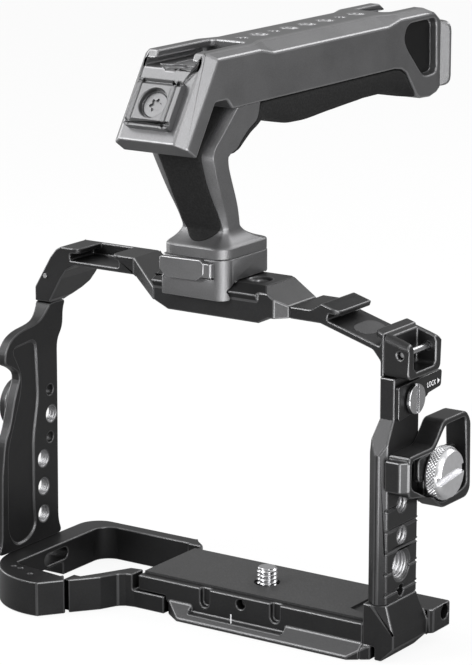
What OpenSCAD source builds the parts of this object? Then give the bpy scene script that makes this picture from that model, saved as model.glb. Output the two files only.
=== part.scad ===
// Camera cage with a top handle, a cable clamp and a strap loop.
// +X is the port side, -Y is the lens side, +Z is up.
// The origin lies under the camera screw, on the lower face of the dovetail foot.

/* [Base plate] */
// Height of the plate's top face above the foot's lower face
base_h = 10.8; // [9.5:0.1:14]
// Reach of the plate from the camera screw to the front
base_front = 14.8; // [13:0.1:17]
// Reach of the plate from the camera screw to the back
base_back = 15.8; // [14.5:0.1:17]
// Reach of the plate from the camera screw to the left
base_left = 38.2; // [34:0.1:44]
// Reach of the plate from the camera screw to the inner face of the right post
base_right = 43.5; // [42:0.1:52]
// Width across the dovetail foot
foot_w = 38; // [36:0.1:39.4]
// Height of the foot's upright edge
foot_edge = 1.1; // [0.8:0.1:2]
// Height at which the foot's slope meets the plate
foot_top = 4.2; // [3:0.1:5.5]
// Reach of the foot's slope to the left, along its top
foot_left = 26.9; // [24:0.1:27.4]
// Reach of the foot's slope to the right, along its top
foot_right = 46.3; // [44.5:0.1:47]
// Thickness of the rubber pad above the plate
pad_t = 0.7; // [0.4:0.1:1.5]
// Reach of the rubber pad to the right
pad_right = 34; // [28:0.5:38]
// Width of the bare strip in front of the pad
pad_strip = 2.8; // [2:0.1:4]

/* [Camera screw] */
// Outer diameter of the quarter-inch thread
screw_d = 6.35; // [6:0.05:6.6]
// Height of the thread above the pad
screw_reach = 5; // [4:0.1:7]
// Diameter of the screw's flat head
screw_head_d = 15.5; // [12:0.1:18]
// Thickness of the screw's head
screw_head_t = 2.6; // [2:0.1:3.4]
// Gap all round the screw in the pad
screw_gap = 0.9; // [0.4:0.1:1.5]

/* [Battery ring] */
// Height of the ring
ring_h = 11; // [9.5:0.1:14]
// Distance from the camera screw to the ring's inner left face
ring_reach = 77; // [72:0.5:84]
// Thickness of the ring's left wall
ring_wall = 8; // [7:0.1:10]
// Thickness of the ring's rear wall
ring_rear_wall = 4.6; // [4:0.1:6]
// Distance from the camera screw to the ring's inner rear face
ring_rear = 20; // [18.5:0.1:22]
// Distance from the camera screw to the front of the ring's nose
nose_reach = 39.6; // [37:0.1:42]
// Length of the strap slot in the left wall
ring_slot_l = 12.1; // [9:0.1:13]
// Height of the strap slot
ring_slot_h = 3.8; // [3:0.1:4.4]
// Gap between the ring's nose and the front link
link_gap = 0.7; // [0.4:0.1:1.2]

/* [Left panel] */
// Thickness of the panel
panel_t = 3.4; // [2.8:0.1:4.6]
// Height of the arch between the panel and the frame's top
arch_h = 18.7; // [16:0.1:22]
// Depth from the panel's front edge to its back edge
panel_d = 30; // [28:0.1:34]
// Depth of the shallow pocket in the inner face
pocket_t = 0.6; // [0.3:0.1:1]

/* [Right post] */
// Thickness of the post
post_t = 7; // [6:0.1:8.4]
// Depth of the post, front to back
post_d = 19.3; // [18:0.1:22]
// Drop from the frame's top face to where the post's front steps back
post_step_drop = 44.6; // [42:0.1:52]
// Width of the bevel along the post's outer edge
post_bevel = 2.2; // [1.2:0.1:3]
// Width of each groove
groove_w = 0.8; // [0.4:0.1:1.2]

/* [Top frame] */
// Height of the centre block's top face
top_h = 107.6; // [106:0.1:112]
// Thickness of the arms beside the centre block
arm_t = 3.7; // [3.2:0.1:5]
// Reach of the centre block to the left
block_left = 32.9; // [31:0.1:35]
// Reach of the centre block to the right
block_right = 5.2; // [4.5:0.1:8]
// Height of the centre block
block_h = 10.9; // [9.5:0.1:11.5]
// Width across the rail's two points
rail_w = 21.2; // [20.6:0.1:21.8]
// Depth of the rail's points beyond its grooves
rail_point = 1.3; // [0.9:0.1:1.8]
// Distance from the camera screw back to the rail's middle line
rail_back = -4; // [-5:0.1:-3]
// Slope of the right arm, in degrees
arm_slope = 16.4; // [12:0.1:19]

/* [Cold shoes] */
// Width of the shoe's channel
shoe_w = 18.9; // [18.6:0.1:19.4]
// Width of the gap between the shoe's lips
shoe_gap = 12.7; // [12.5:0.1:13.5]
// Height of the channel under the lips
shoe_h = 2.2; // [2:0.1:2.5]
// Thickness of the lips
lip_t = 1.8; // [1.4:0.1:2.4]
// Thickness of the plate under the channel
shoe_floor = 1.9; // [1.5:0.1:3]

/* [Strap loop and lock] */
// Height of the strap box
box_h = 11.8; // [10:0.1:13]
// Diameter of the pin across the strap box
strap_pin_d = 2.2; // [1.6:0.1:3]
// Height of the locking slide
lock_h = 10.6; // [9:0.1:11]
// Length of the locking slide, front to back
lock_l = 24.6; // [21:0.1:26]
// How far the locking slide stands out of the post
lock_t = 1.1; // [0.8:0.1:2]
// Diameter of the lock screw's head
lock_screw_d = 9.2; // [7:0.1:10]
// Gap between the locking slide and the screw, in the direction of travel
lock_travel = 2.3; // [1.5:0.1:3]

/* [Cable clamp] */
// Gap between the strap box and the clamp's frame
clip_drop = 14.96; // [13:0.01:18]
// Width of the clamp's frame, across the post
clip_w = 7.2; // [6:0.1:9]
// Height of the frame's tall rear part
clip_h = 27; // [24:0.1:31]
// Length of the frame, front to back
clip_l = 38.2; // [35:0.1:42]
// Thickness of the frame's walls
clip_wall = 1.7; // [1.3:0.1:2.2]
// Thickness of the sliding jaw
jaw_t = 1.9; // [1.4:0.1:2.4]
// Travel of the sliding jaw
jaw_travel = 4.5; // [3:0.1:4.8]
// Outer diameter of the knurled knob
knob_d = 16.4; // [13:0.1:18]
// Thickness of the knurled knob
knob_t = 5.2; // [4:0.1:7]
// Width of the coin slot in the knob
knob_slot = 2; // [1.2:0.1:3]

/* [Handle] */
// Height of the grip's top face above the frame's top face
handle_h = 69.8; // [62:0.1:82]
// Width of the grip
grip_w = 26; // [24:0.1:30]
// Length of the grip, from the leading edge of the shoe to its rear face
grip_l = 126.6; // [115:0.1:140]
// Depth of the metal grip over the finger pad
grip_h = 17.1; // [14:0.1:19]
// Thickness of the finger pad below the metal
finger_pad_h = 10; // [7:0.1:13]
// Bevel along the grip's upper edges
grip_bevel = 3; // [1.5:0.1:4]
// Lean of the front face, in degrees from upright
front_lean = 33; // [26:0.5:38]
// Distance from the camera screw to the handle's middle plane, to the left
handle_left = 16; // [14:0.1:18]
// Width of the post where it meets its foot
neck_w = 15; // [13:0.1:18]
// Depth of the post where it meets its foot
neck_d = 13; // [11:0.1:15]
// Width of the square front plate
plate_w = 20.3; // [18:0.1:21.5]
// Height of the square front plate along its lean
plate_h = 22.6; // [20:0.1:24]
// Thickness of the square front plate
plate_t = 3.1; // [2.4:0.1:4]

/* [Quick-release clamp] */
// Width of the clamp along the rail
qr_w = 23.4; // [20:0.1:26]
// Depth of the clamp across the rail
qr_d = 25.4; // [24.8:0.1:28]
// Height of the clamp above the rail
qr_h = 7; // [6:0.1:9]
// Thickness of the handle's foot on the clamp
foot_plate_t = 3.4; // [2.6:0.1:5]
// Reach of the jaws below the rail's top face
jaw_drop = 5.2; // [4.6:0.1:6]
// Height of the release lever
lever_h = 4.6; // [3.6:0.1:5.4]
// Thickness of the release lever
lever_t = 2.6; // [2:0.1:3.4]
// Travel of the movable jaw
rail_jaw_travel = 1.6; // [1:0.1:2]

/* [Hidden] */
$fn = 64;
// Overrun of the cuts
over = 0.5;
// Clearance of turning shafts, all round
run = 0.05;
// Clearance of sliding pieces
slide = 0.3;
// Quarter-inch and three-eighths threads, as bored
quarter_r = 2.65;
three_eighths_r = 4.1;
locate_r = 1.65;
// Small edge break
edge = 0.6;
// Rounding of the free outlines
soft_r = 3;
soft_share = 0.45;
soft_steps = 4;

// Shapes that the pieces share

// An outline given as shares of a width and a height
function fit(shares, w, h) = [for (p = shares) [p[0] * w, p[1] * h]];

// The same outline with each corner rounded over a length r, or less on a short edge
function soft(p, r) = [
    for (i = [0:len(p) - 1])
        let (b = p[i], a = p[(i + len(p) - 1) % len(p)] - b, c = p[(i + 1) % len(p)] - b,
            s = b + a * min(r / norm(a), soft_share), e = b + c * min(r / norm(c), soft_share))
            for (k = [0:soft_steps])
                let (t = k / soft_steps)
                    (1 - t) * (1 - t) * s + 2 * t * (1 - t) * b + t * t * e];

// Plate whose outline lies in the Y-Z plane, from x0 towards +X
module yz_plate(points, x0, t) {
    translate([x0, 0, 0])
        rotate([90, 0, 90])
            linear_extrude(t)
                polygon(points);
}

// Plate whose outline lies in the X-Z plane, from y0 towards +Y
module xz_plate(points, y0, t) {
    translate([0, y0 + t, 0])
        rotate([90, 0, 0])
            linear_extrude(t)
                polygon(points);
}

// Plate whose outline lies in the X-Y plane
module xy_plate(points, z0, t) {
    translate([0, 0, z0])
        linear_extrude(t)
            polygon(points);
}

// Round bar along X, Y or Z
module rod_x(r, l) {
    rotate([0, 90, 0])
        cylinder(r = r, h = l);
}

module rod_y(r, l) {
    rotate([-90, 0, 0])
        cylinder(r = r, h = l);
}

// Slot with round ends: length along Y, bored along X
module slot_x(l, h, t) {
    r = h / 2;
    translate([0, r, 0])
        rod_x(r, t);
    translate([0, l - r, 0])
        rod_x(r, t);
    translate([0, r, -r])
        cube([t, l - h, h]);
}

// Places that several pieces share

post_x = base_right;
post_out = post_x + post_t;
pad_top = base_h + pad_t;
// Front faces of the top frame
arm_front = -9.8;
block_front = arm_front - arm_t + 0.3 * edge;
arm_depth = 18.6;
block_base = top_h - block_h;
arm_top = top_h - 1.42 * arm_t;
// The rail under the quick-release clamp
rail_front = rail_back - rail_w / 2;
rail_rear = rail_back + rail_w / 2;
rail_z = top_h - 0.2 * block_h;
groove_z = rail_z - 0.2 * block_h;
// The ring's outer faces
ring_out = ring_reach + ring_wall;
ring_rear_out = ring_rear + ring_rear_wall;
// Left arch
panel_h = top_h - edge - arch_h - ring_h;
panel_x = ring_out - 1.6 * edge;
panel_out = panel_x + panel_t;
panel_y0 = -0.81 * panel_d;
panel_z1 = ring_h + panel_h;
arch_wall = 6;
arch_front = panel_y0 + 0.873 * panel_d;
// Middle and floor of each shoe on the top frame
shoe_l = 13.6;
left_shoe_x = -panel_x + 0.93 * shoe_w;
left_floor_z = top_h - edge - lip_t - shoe_h;
right_shoe_x = post_out - 0.76 * shoe_w;
right_shoe_z = arm_top - 1.3 * shoe_floor - shoe_w / 2 * sin(arm_slope);

// Cage: base

// Plan of the plate, with the lug that carries the ring's rear wall
lug_w = 2.4;
lug_back = ring_rear + edge;

module camera_hole() {
    head_r = screw_head_d / 2 + slide;
    translate([0, 0, -over])
        cylinder(r = head_r, h = screw_head_t + slide + over);
    cylinder(r = screw_d / 2 + screw_gap, h = base_h + over);
}

// Upright slots that a grip's pins drop into, in the plate's front face
front_slots = [-13.2, 12.5];
front_slot_w = 3.3;
front_slot_t = 1.7;
front_slot_z = 6.6;

module front_slot(x) {
    r = front_slot_w / 2;
    translate([x, -base_front - over, front_slot_z])
        rod_y(r, front_slot_t + over);
    translate([x - r, -base_front - over, front_slot_z])
        cube([front_slot_w, front_slot_t + over, base_h]);
}

foot_taper = 5.9;
shelf_x = [-18, 16.3];
shelf_z = 0.62 * foot_top;
tongue_z = 5.9;
tongue_x = -28.2;

module foot() {
    half = foot_w / 2;
    intersection() {
        yz_plate([[-half, 0], [half, 0], [half, foot_edge], [base_front, foot_top + over],
            [-base_front, foot_top + over], [-half, foot_edge]], -foot_left, foot_left + foot_right);
        xy_plate([[-foot_left, -base_front], [-foot_left + foot_taper, -half], [foot_right - foot_taper, -half],
            [foot_right, -base_front], [foot_right, base_front], [foot_right - foot_taper, half],
            [-foot_left + foot_taper, half], [-foot_left, base_front]], 0, foot_top + over);
    }
}

module base_plate() {
    color("#5c5c5c")
        difference() {
            union() {
                xy_plate([[-base_left, -base_front], [post_x, -base_front], [post_x, base_back],
                    [-base_left + lug_w, base_back], [-base_left + lug_w, base_back + edge],
                    [-base_left, lug_back]], foot_top, base_h - foot_top);
                difference() {
                    foot();
                    translate([post_x, -foot_w, -over])
                        cube([foot_w, 2 * foot_w, foot_w]);
                }
            }
            camera_hole();
            for (x = front_slots)
                front_slot(x);
            // Round locating hole above the index line
            translate([0, -base_front - over, 0.77 * base_h])
                rod_y(1.5 * edge + edge, front_slot_w + over);
            // Shelf along the foot's front slope
            translate([shelf_x[0], -foot_w / 2, shelf_z])
                cube([shelf_x[1] - shelf_x[0], foot_w / 2 - base_front, foot_top]);
            // Seat of the front link's tongue
            translate([-base_left - over, -base_front - over, 0])
                cube([base_left + tongue_x + slide + over, 0.38 * base_front + over, tongue_z]);
            // Small pocket in front of the right post
            translate([post_x - foot_edge * 3, -0.5 * base_front, base_h - foot_edge])
                cylinder(r = locate_r, h = foot_edge + over);
        }
}

module base_pad() {
    front = -base_front + pad_strip;
    color("#4c4c4c")
        difference() {
            xy_plate([[-base_left + edge, front], [post_x - 2 * edge, front], [post_x - 2 * edge, front + pad_strip],
                [pad_right, -0.42 * base_front], [pad_right, base_back - edge],
                [-base_left + edge, base_back - edge]], base_h, pad_t);
            cylinder(r = screw_d / 2 + screw_gap, h = pad_top + over);
        }
}

module camera_screw() {
    color("#b8b8b4")
        difference() {
            union() {
                cylinder(r = screw_head_d / 2, h = screw_head_t);
                cylinder(r = screw_d / 2, h = pad_top + screw_reach - edge);
                translate([0, 0, pad_top + screw_reach - edge])
                    cylinder(r1 = screw_d / 2, r2 = screw_d / 2 - edge, h = edge);
            }
            // Coin slot in the head
            translate([-screw_head_d / 2 - over, -knob_slot / 2, -over])
                cube([screw_head_d + 2 * over, knob_slot, 0.5 * screw_head_t + over]);
        }
}

// Cage: battery ring and left side

nose_r = 21.8;
nose_x = -ring_out + nose_r;
nose_y = -nose_reach + nose_r;
ring_r = 5.5;
// The flat that the nose and the front link share, as shares of the ring's reach
flat_a = [-0.70 * ring_out, -nose_reach];
flat_b = [-0.55 * ring_out, -0.58 * nose_reach];
seam = [-0.635 * ring_out, -0.8 * nose_reach];

module ring_plan() {
    outer_r = ring_wall;
    difference() {
        union() {
            translate([-ring_out, nose_y])
                square([ring_wall + ring_r, ring_rear_out - outer_r - nose_y]);
            translate([-ring_out + outer_r, ring_rear - ring_r])
                square([ring_out - outer_r - base_left - ring_rear_wall, ring_rear_wall + ring_r]);
            translate([-ring_out + outer_r, ring_rear_out - outer_r])
                circle(r = outer_r);
            translate([nose_x, nose_y])
                circle(r = nose_r);
            polygon([[-base_left - ring_rear_wall - edge, ring_rear - edge], [-base_left, lug_back - 2 * edge],
                [-base_left, lug_back], [-base_left - ring_rear_wall - edge, ring_rear_out]]);
        }
        // Inside of the ring, with its rounded rear corner
        translate([-ring_reach, -0.66 * nose_reach])
            square([2 * ring_reach, ring_rear - ring_r + 0.66 * nose_reach]);
        translate([-ring_reach + ring_r, -0.66 * nose_reach])
            square([ring_reach - ring_r - base_left - ring_rear_wall - edge, ring_rear + 0.66 * nose_reach]);
        translate([-ring_reach + ring_r, -0.66 * nose_reach])
            square([ring_reach, ring_rear - edge + 0.66 * nose_reach]);
        translate([-ring_reach + ring_r, ring_rear - ring_r])
            circle(r = ring_r);
        // The nose's inner edge runs slightly forward
        polygon([[-ring_reach, -0.65 * nose_reach], [-0.88 * ring_out, -0.69 * nose_reach],
            [-0.66 * ring_out, -0.745 * nose_reach], [0, -0.745 * nose_reach], [0, 0]]);
        // The flat at the front right, and the seam to the link
        polygon([flat_a, flat_b, [0, -nose_reach], [0, -2 * nose_reach], [flat_a[0], -2 * nose_reach]]);
        polygon([seam, [-0.665 * ring_out, -0.745 * nose_reach], [-0.5 * ring_out, 0],
            [0, 0], [0, -nose_reach], [-0.6 * ring_out, -nose_reach]]);
    }
}

module battery_ring() {
    slot_y = -0.3 * nose_reach;
    color("#3c3c3c")
        difference() {
            linear_extrude(ring_h)
                ring_plan();
            // Strap slot
            translate([-ring_out - over, slot_y, 0.65 * ring_h])
                slot_x(ring_slot_l, ring_slot_h, ring_wall + 2 * over);
            // Clearance under the left wall
            translate([-ring_out - over, -0.64 * nose_reach, -over])
                cube([ring_wall + 2 * over, 0.58 * nose_reach, 0.38 * ring_h + over]);
            // Three small screw seats on the nose
            for (p = nose_screw_shares)
                translate([p[0] * ring_out, p[1] * nose_reach, ring_h - edge])
                    cylinder(r = edge, h = edge + over);
        }
}

// Removable link between the ring's nose and the plate
module front_link() {
    d = link_gap;
    inner = [[-0.575 * ring_out, -0.49 * nose_reach], [-0.52 * ring_out, -0.26 * nose_reach],
        [-base_left, -0.22 * nose_reach]];
    color("#4a4a4a")
        difference() {
            xy_plate(concat([[seam[0] + d, seam[1] + d], [flat_b[0], flat_b[1]],
                [-0.52 * ring_out, -0.44 * nose_reach], [-0.497 * ring_out, -base_front - 2 * edge],
                [-base_left - 2 * edge, -base_front - edge], [tongue_x, -base_front - edge],
                [tongue_x, -0.62 * base_front], [-base_left, -0.62 * base_front]],
                [inner[1], inner[0], [-0.648 * ring_out + d, -0.735 * nose_reach]]), 0, ring_h - 0.3 * edge);
            // Step that clears the plate above the tongue
            translate([-base_left - 3 * edge, -base_front - 3 * edge, tongue_z - slide])
                cube([base_left, base_front + 3 * edge, ring_h]);
        }
}

// Outline of the left panel, from its front lower corner
panel_shares = [[-0.07, 0], [0, 0.05], [0.02, 0.34], [0.075, 0.475], [0.153, 0.523], [0.247, 0.642],
    [0.36, 0.735], [0.223, 0.777], [0.09, 0.797], [0.11, 0.85], [0.2, 0.893], [0.353, 0.918],
    [0.62, 0.929], [0.72, 0.942], [0.84, 0.98], [0.873, 1], [1.153, 1], [1.1, 0.96], [1.093, 0.885],
    [0.99, 0.835], [0.99, 0.662], [0.98, 0.362], [0.973, 0.06], [1.04, 0]];
pocket_shares = [[0.11, 0.09], [0.22, 0.022], [0.43, 0.026], [0.58, 0.07], [0.553, 0.16], [0.56, 0.45],
    [0.65, 0.62], [0.62, 0.868], [0.21, 0.855], [0.38, 0.74], [0.36, 0.66], [0.26, 0.56], [0.13, 0.44]];
// Threaded holes and locating holes, as shares of the panel
panel_hole_shares = [[0.87, 0.529], [0.72, 0.349], [0.72, 0.23], [0.713, 0.1125]];
panel_pin_shares = [[0.85, 0.633], [0.843, 0.431]];

module left_panel() {
    color("#3a3a3a")
        difference() {
            intersection() {
                translate([0, panel_y0, ring_h])
                    yz_plate(soft(fit(panel_shares, panel_d, panel_h), soft_r), -panel_x - arch_wall, arch_wall);
                // The panel thickens under the arch
                xz_plate([[-panel_x, ring_h], [-panel_x, panel_z1], [-panel_x - arch_wall, panel_z1],
                    [-panel_out, panel_z1 - arch_wall], [-panel_out, ring_h]], panel_y0 - panel_d, 3 * panel_d);
            }
            translate([0, panel_y0, ring_h])
                yz_plate(soft(fit(pocket_shares, panel_d, panel_h), soft_r), -panel_x - pocket_t, pocket_t + over);
            for (p = fit(panel_hole_shares, panel_d, panel_h))
                translate([-panel_out - over, panel_y0 + p[0], ring_h + p[1]])
                    rod_x(quarter_r, panel_t + 2 * over);
            for (p = fit(panel_pin_shares, panel_d, panel_h))
                translate([-panel_out - over, panel_y0 + p[0], ring_h + p[1]])
                    rod_x(locate_r, panel_t + 2 * over);
        }
}

// Quick-disconnect socket for a strap, on the panel's outer face
socket_r = 8.2;
socket_bore = 4.8;
socket_t = 2.6;
socket_at = [panel_y0 + 0.5 * panel_d, ring_h + 0.6 * panel_h];

module strap_socket() {
    color("#2e2e2e")
        difference() {
            translate([-panel_out - socket_t, socket_at[0], socket_at[1]])
                rod_x(socket_r, socket_t);
            translate([-panel_out - socket_t - over, socket_at[0], socket_at[1]])
                rod_x(socket_bore, socket_t + 2 * over);
        }
}

// Channel of a cold shoe, cut from the origin on its floor towards +Y, with rounded lips at the front
module shoe_cut(l) {
    lead = 0.9 * (shoe_w - shoe_gap);
    translate([-shoe_w / 2, -over, 0])
        cube([shoe_w, l + over, shoe_h]);
    translate([-shoe_gap / 2, -over, 0])
        cube([shoe_gap, l + over, shoe_h + lip_t + over]);
    difference() {
        translate([-shoe_gap / 2 - lead / 2, -over, 0])
            cube([shoe_gap + lead, lead / 2 + over, shoe_h + lip_t + over]);
        for (x = [-1, 1])
            translate([x * (shoe_gap + lead) / 2, lead / 2, -over])
                cylinder(r = lead / 2, h = shoe_h + lip_t + 2 * over + over);
    }
}

// Cage: arch with the left cold shoe, from the panel to the centre block
arch_w = 40;
arch_shares = [[0, 0], [0, 0.25], [0.153, 0.797], [0.208, 0.936], [0.258, 1], [0.975, 1], [0.995, 0.97],
    [0.995, 0.706], [0.4, 0.706], [0.315, 0.6], [0.26, 0.44], [0.149, 0.03], [0.149, 0]];
// Outline of the arch from the side, from the neck up
arch_side_shares = [[0, 0], [0.63, 0], [0.87, 0.037], [1.18, 0.12], [1.39, 0.22], [1.46, 0.38], [1.46, 0.55],
    [1.0, 0.96], [1.0, 1.1], [0, 1.1]];

module left_arch() {
    h = top_h - edge - panel_z1;
    left = -panel_x - arch_wall;
    right = left + arch_shares[5][0] * arch_w;
    color("#484848")
        difference() {
            union() {
                intersection() {
                    translate([left, 0, panel_z1])
                        xz_plate(fit(arch_shares, arch_w, h), arch_front, 2 * shoe_l);
                    translate([0, arch_front, panel_z1])
                        yz_plate(fit(arch_side_shares, shoe_l, h), left - over, 2 * arch_w);
                }
                // Ramp to the centre block
                intersection() {
                    xz_plate([[right, left_floor_z - shoe_floor + edge], [right, top_h - edge],
                        [-block_left, arm_top + edge], [-block_left, block_base + 2 * edge + 1.5 * edge]],
                        -qr_d, 3 * qr_d);
                    xy_plate([[right, arch_front], [-block_left, block_front], [-block_left, -arm_front / 3],
                        [-0.5 * ring_out, 0.8 * shoe_l], [right, arch_front + shoe_l]],
                        panel_z1, top_h);
                }
            }
            translate([left_shoe_x, arch_front, left_floor_z])
                shoe_cut(shoe_l - lip_t + edge);
        }
}

// Cage: centre block with the rail for the handle's clamp
step_l = 8.8;
block_end = block_right + step_l;

module centre_block() {
    color("#565656")
        difference() {
            union() {
                intersection() {
                    yz_plate([[block_front, block_base], [block_front, groove_z], [rail_front, rail_z],
                        [rail_front + rail_slope, top_h], [rail_rear - edge, top_h], [rail_rear, top_h - edge],
                        [rail_rear, rail_z], [rail_rear - rail_point, groove_z], [rail_rear - rail_point, block_base]],
                        -block_left, block_left + block_right);
                    xz_plate([[-block_left, block_base + 4 * edge], [-block_left + 9 * edge, block_base],
                        [block_right, block_base], [block_right, top_h],
                        [-block_left, top_h]], -qr_d, 2 * qr_d);
                }
                // Step down to the right arm, with the corner taken off
                intersection() {
                    xz_plate([[block_right, block_base], [block_right + arm_t, arm_top - arm_t],
                        [block_end, arm_top - arm_t], [block_end, arm_top],
                        [block_right + 0.25 * arm_t, top_h], [block_right, top_h]], -qr_d, 2 * qr_d);
                    xy_plate([[block_right, block_front], [block_end + arm_front / 3, block_front],
                        [block_end, arm_front], [block_end, rail_rear - 2 * edge],
                        [block_right, rail_rear - 2 * edge]], block_base, block_h);
                    // The rail's front slope runs on over the step
                    yz_plate([[block_front, block_base], [block_front, rail_z
                        + (top_h - rail_z) * (block_front - rail_front) / rail_slope],
                        [rail_front + rail_slope, top_h], [rail_rear, top_h], [rail_rear, block_base]],
                        block_right, block_end - block_right);
                }
            }
            // Threaded hole beside the rail's end, with its lead-in
            translate([-edge, rail_back + 1.5 * edge, block_base - over])
                cylinder(r = quarter_r, h = block_h + 2 * over);
            translate([-edge, rail_back + 1.5 * edge, top_h - 2 * edge])
                cylinder(r1 = quarter_r, r2 = quarter_r + 2 * edge, h = 2 * edge + over / 10);
        }
}

// Cage: right arm with the sloping cold shoe
function on_slope(u, v) = [right_shoe_x + u * cos(arm_slope) + v * sin(arm_slope),
    right_shoe_z - u * sin(arm_slope) + v * cos(arm_slope)];
function lip_line(x) = right_shoe_z - (x - right_shoe_x) * tan(arm_slope)
    + (shoe_h + lip_t) / cos(arm_slope);
arm_under = arm_top - arm_t;
// Inner faces of the post's narrow upper part and of the strap box
neck_in = 2;
box_in = 1.1;
neck_x = post_x + neck_in;
box_x = neck_x + box_in;
strap_z0 = right_shoe_z - box_h;

module right_arm() {
    half = shoe_w / 2;
    lip_x = right_shoe_x - half - shoe_floor + edge / 2;
    color("#6a6a6a")
        difference() {
            xz_plate([[block_end, arm_under], [block_end, arm_top], [lip_x - arm_t, arm_top],
                [lip_x, lip_line(lip_x)], [box_x, lip_line(box_x)], [box_x, strap_z0], [neck_x, strap_z0],
                [neck_x, strap_z0 + 0.4 * box_h], on_slope(half - shoe_floor, -shoe_floor),
                on_slope(-half - shoe_floor, -shoe_floor)], arm_front, arm_depth);
            intersection() {
                translate([right_shoe_x, arm_front, right_shoe_z])
                    rotate([0, arm_slope, 0])
                        shoe_cut(arm_depth + over);
                translate([0, -arm_depth, 0])
                    cube([box_x, 3 * arm_depth, 2 * top_h]);
            }
        }
}

// Cage: right post
post_back = -base_front + post_d;
post_foot_h = 6.4;
post_step_l = 10;
post_z0 = base_h + post_foot_h;
post_step_z = top_h - post_step_drop;
post_z1 = post_step_z + post_step_l;
// The clamp's frame hangs below the strap box, over the middle of the upper hole
clip_over = 3;
clip_z0 = strap_z0 - clip_drop - clip_h;
// Holes across the post, counted from the foot up
post_hole_y = post_back - 0.465 * post_d;
groove_pitch = (clip_z0 + clip_over - post_z0) / 4.5;
small_z = post_z0 + 0.4 * groove_pitch;
large_z = small_z + 1.2 * groove_pitch;
quarter_z = large_z + 1.42 * groove_pitch;
upper_z = quarter_z + 1.48 * groove_pitch;
counter_r = 1.18 * three_eighths_r;

module right_post() {
    color("#444444")
        difference() {
            intersection() {
                xy_plate([[post_x, post_back], [post_x, -base_front + 5 * edge], [neck_x + 2.5 * edge, -base_front],
                    [post_out - post_bevel, -base_front], [post_out, -base_front + 0.86 * post_bevel],
                    [post_out, post_back]], post_z0, strap_z0 - post_z0);
                yz_plate([[-base_front, post_z0], [-base_front, post_step_z], [arm_front, post_z1],
                    [arm_front, strap_z0], [post_back, strap_z0], [post_back, post_z0]], post_x, post_t);
                xz_plate([[post_x, post_z0], [post_x, post_step_z], [neck_x, post_z1], [neck_x, strap_z0],
                    [post_out, strap_z0], [post_out, post_z0]], -2 * post_d, 4 * post_d);
            }
            // Grooves across the outer face
            for (k = [0:4])
                translate([post_out - groove_w / 2, -2 * post_d, small_z + k * groove_pitch])
                    cube([groove_w, 4 * post_d, groove_w]);
            for (z = [quarter_z, upper_z])
                translate([post_x - over, post_hole_y, z])
                    rod_x(quarter_r, post_t + 2 * over);
            translate([post_x - over, post_hole_y, large_z])
                rod_x(three_eighths_r, post_t + 2 * over);
            translate([post_out - groove_w, post_hole_y, large_z])
                rod_x(counter_r, groove_w + over);
            translate([post_x - over, post_hole_y, small_z])
                rod_x(locate_r, post_t + 2 * over);
            // Threaded bore of the lock screw
            translate([post_x - over, lock_y, lock_z])
                rod_x(lock_shank_r + run, post_t + 2 * over);
        }
}

// Cage: foot of the right post, with the end of the dovetail
foot_flare = 3.7;
foot_out = post_out + foot_flare;
foot_block_x = foot_out + 3 * edge;
foot_hole_r = 2.2;

module post_foot() {
    top = 1.1 * base_h;
    color("#525252")
        difference() {
            union() {
                xz_plate([[post_x, foot_top], [post_out - post_bevel - 1.2 * edge, foot_top],
                    [post_out - post_bevel - 1.2 * edge, edge / 3], [post_out - edge, edge / 3],
                    [foot_out, 1.07 * foot_top], [foot_out, 0.82 * base_h], [post_out, post_z0],
                    [post_x, post_z0]], -base_front, post_d);
                intersection() {
                    foot();
                    translate([post_x, -foot_w, 0])
                        cube([foot_w, 2 * foot_w, foot_top]);
                }
                // Block behind the post
                xy_plate([[post_x, post_back], [foot_block_x - 2 * edge, post_back],
                    [foot_block_x, post_back + 2 * edge], [foot_block_x, base_back - edge],
                    [foot_block_x - edge, base_back], [post_x, base_back]], foot_top, top - foot_top);
            }
            // Facet that narrows the front towards the post
            translate([post_out - 2 * post_bevel, -base_front, post_z0])
                rotate([0, 46, 0])
                    yz_plate([[-over, 0], [0, 0], [2 * post_bevel, 3.3 * post_bevel],
                        [2 * post_bevel, post_d], [-over, post_d]], -base_h, 4 * base_h);
            translate([foot_block_x - base_h, base_back - 1.6 * foot_hole_r, 0.85 * base_h])
                rod_x(foot_hole_r, base_h + over);
        }
}

// Cage: strap box at the corner, open at the top and on its outer side
box_reach = 4.7;
box_out = post_out + box_reach;
box_wall = 2;
strap_pin_at = [box_x + 0.65 * (box_out - box_x), strap_z0 + 0.61 * box_h];

module strap_box() {
    knee = box_out - 5 * edge;
    color("#767676")
        difference() {
            xz_plate([[box_x, strap_z0], [box_out, strap_z0], [box_out, strap_z0 + 0.75 * box_h],
                [box_out - edge, strap_z0 + 0.88 * box_h], [knee, lip_line(knee)], [box_x, lip_line(box_x)]],
                arm_front, arm_depth);
            translate([box_x + box_wall, arm_front + 1.5 * box_wall, strap_z0 + 0.9 * box_wall])
                cube([box_out, arm_depth - 3 * box_wall, 2 * box_h]);
            translate([strap_pin_at[0], arm_front - over, strap_pin_at[1]])
                rod_y(strap_pin_d / 2, arm_depth + 2 * over);
        }
}

module strap_pin() {
    color("#9a9a9a")
        translate([strap_pin_at[0], arm_front, strap_pin_at[1]])
            rod_y(strap_pin_d / 2, arm_depth);
}

// Locking slide and its screw, on the post's outer face
lock_back = 2.97;
lock_y = post_hole_y + lock_back;
lock_z = strap_z0 - 0.62 * box_h;
lock_shank_r = 2.4;
lock_head_t = 1.4;

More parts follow.
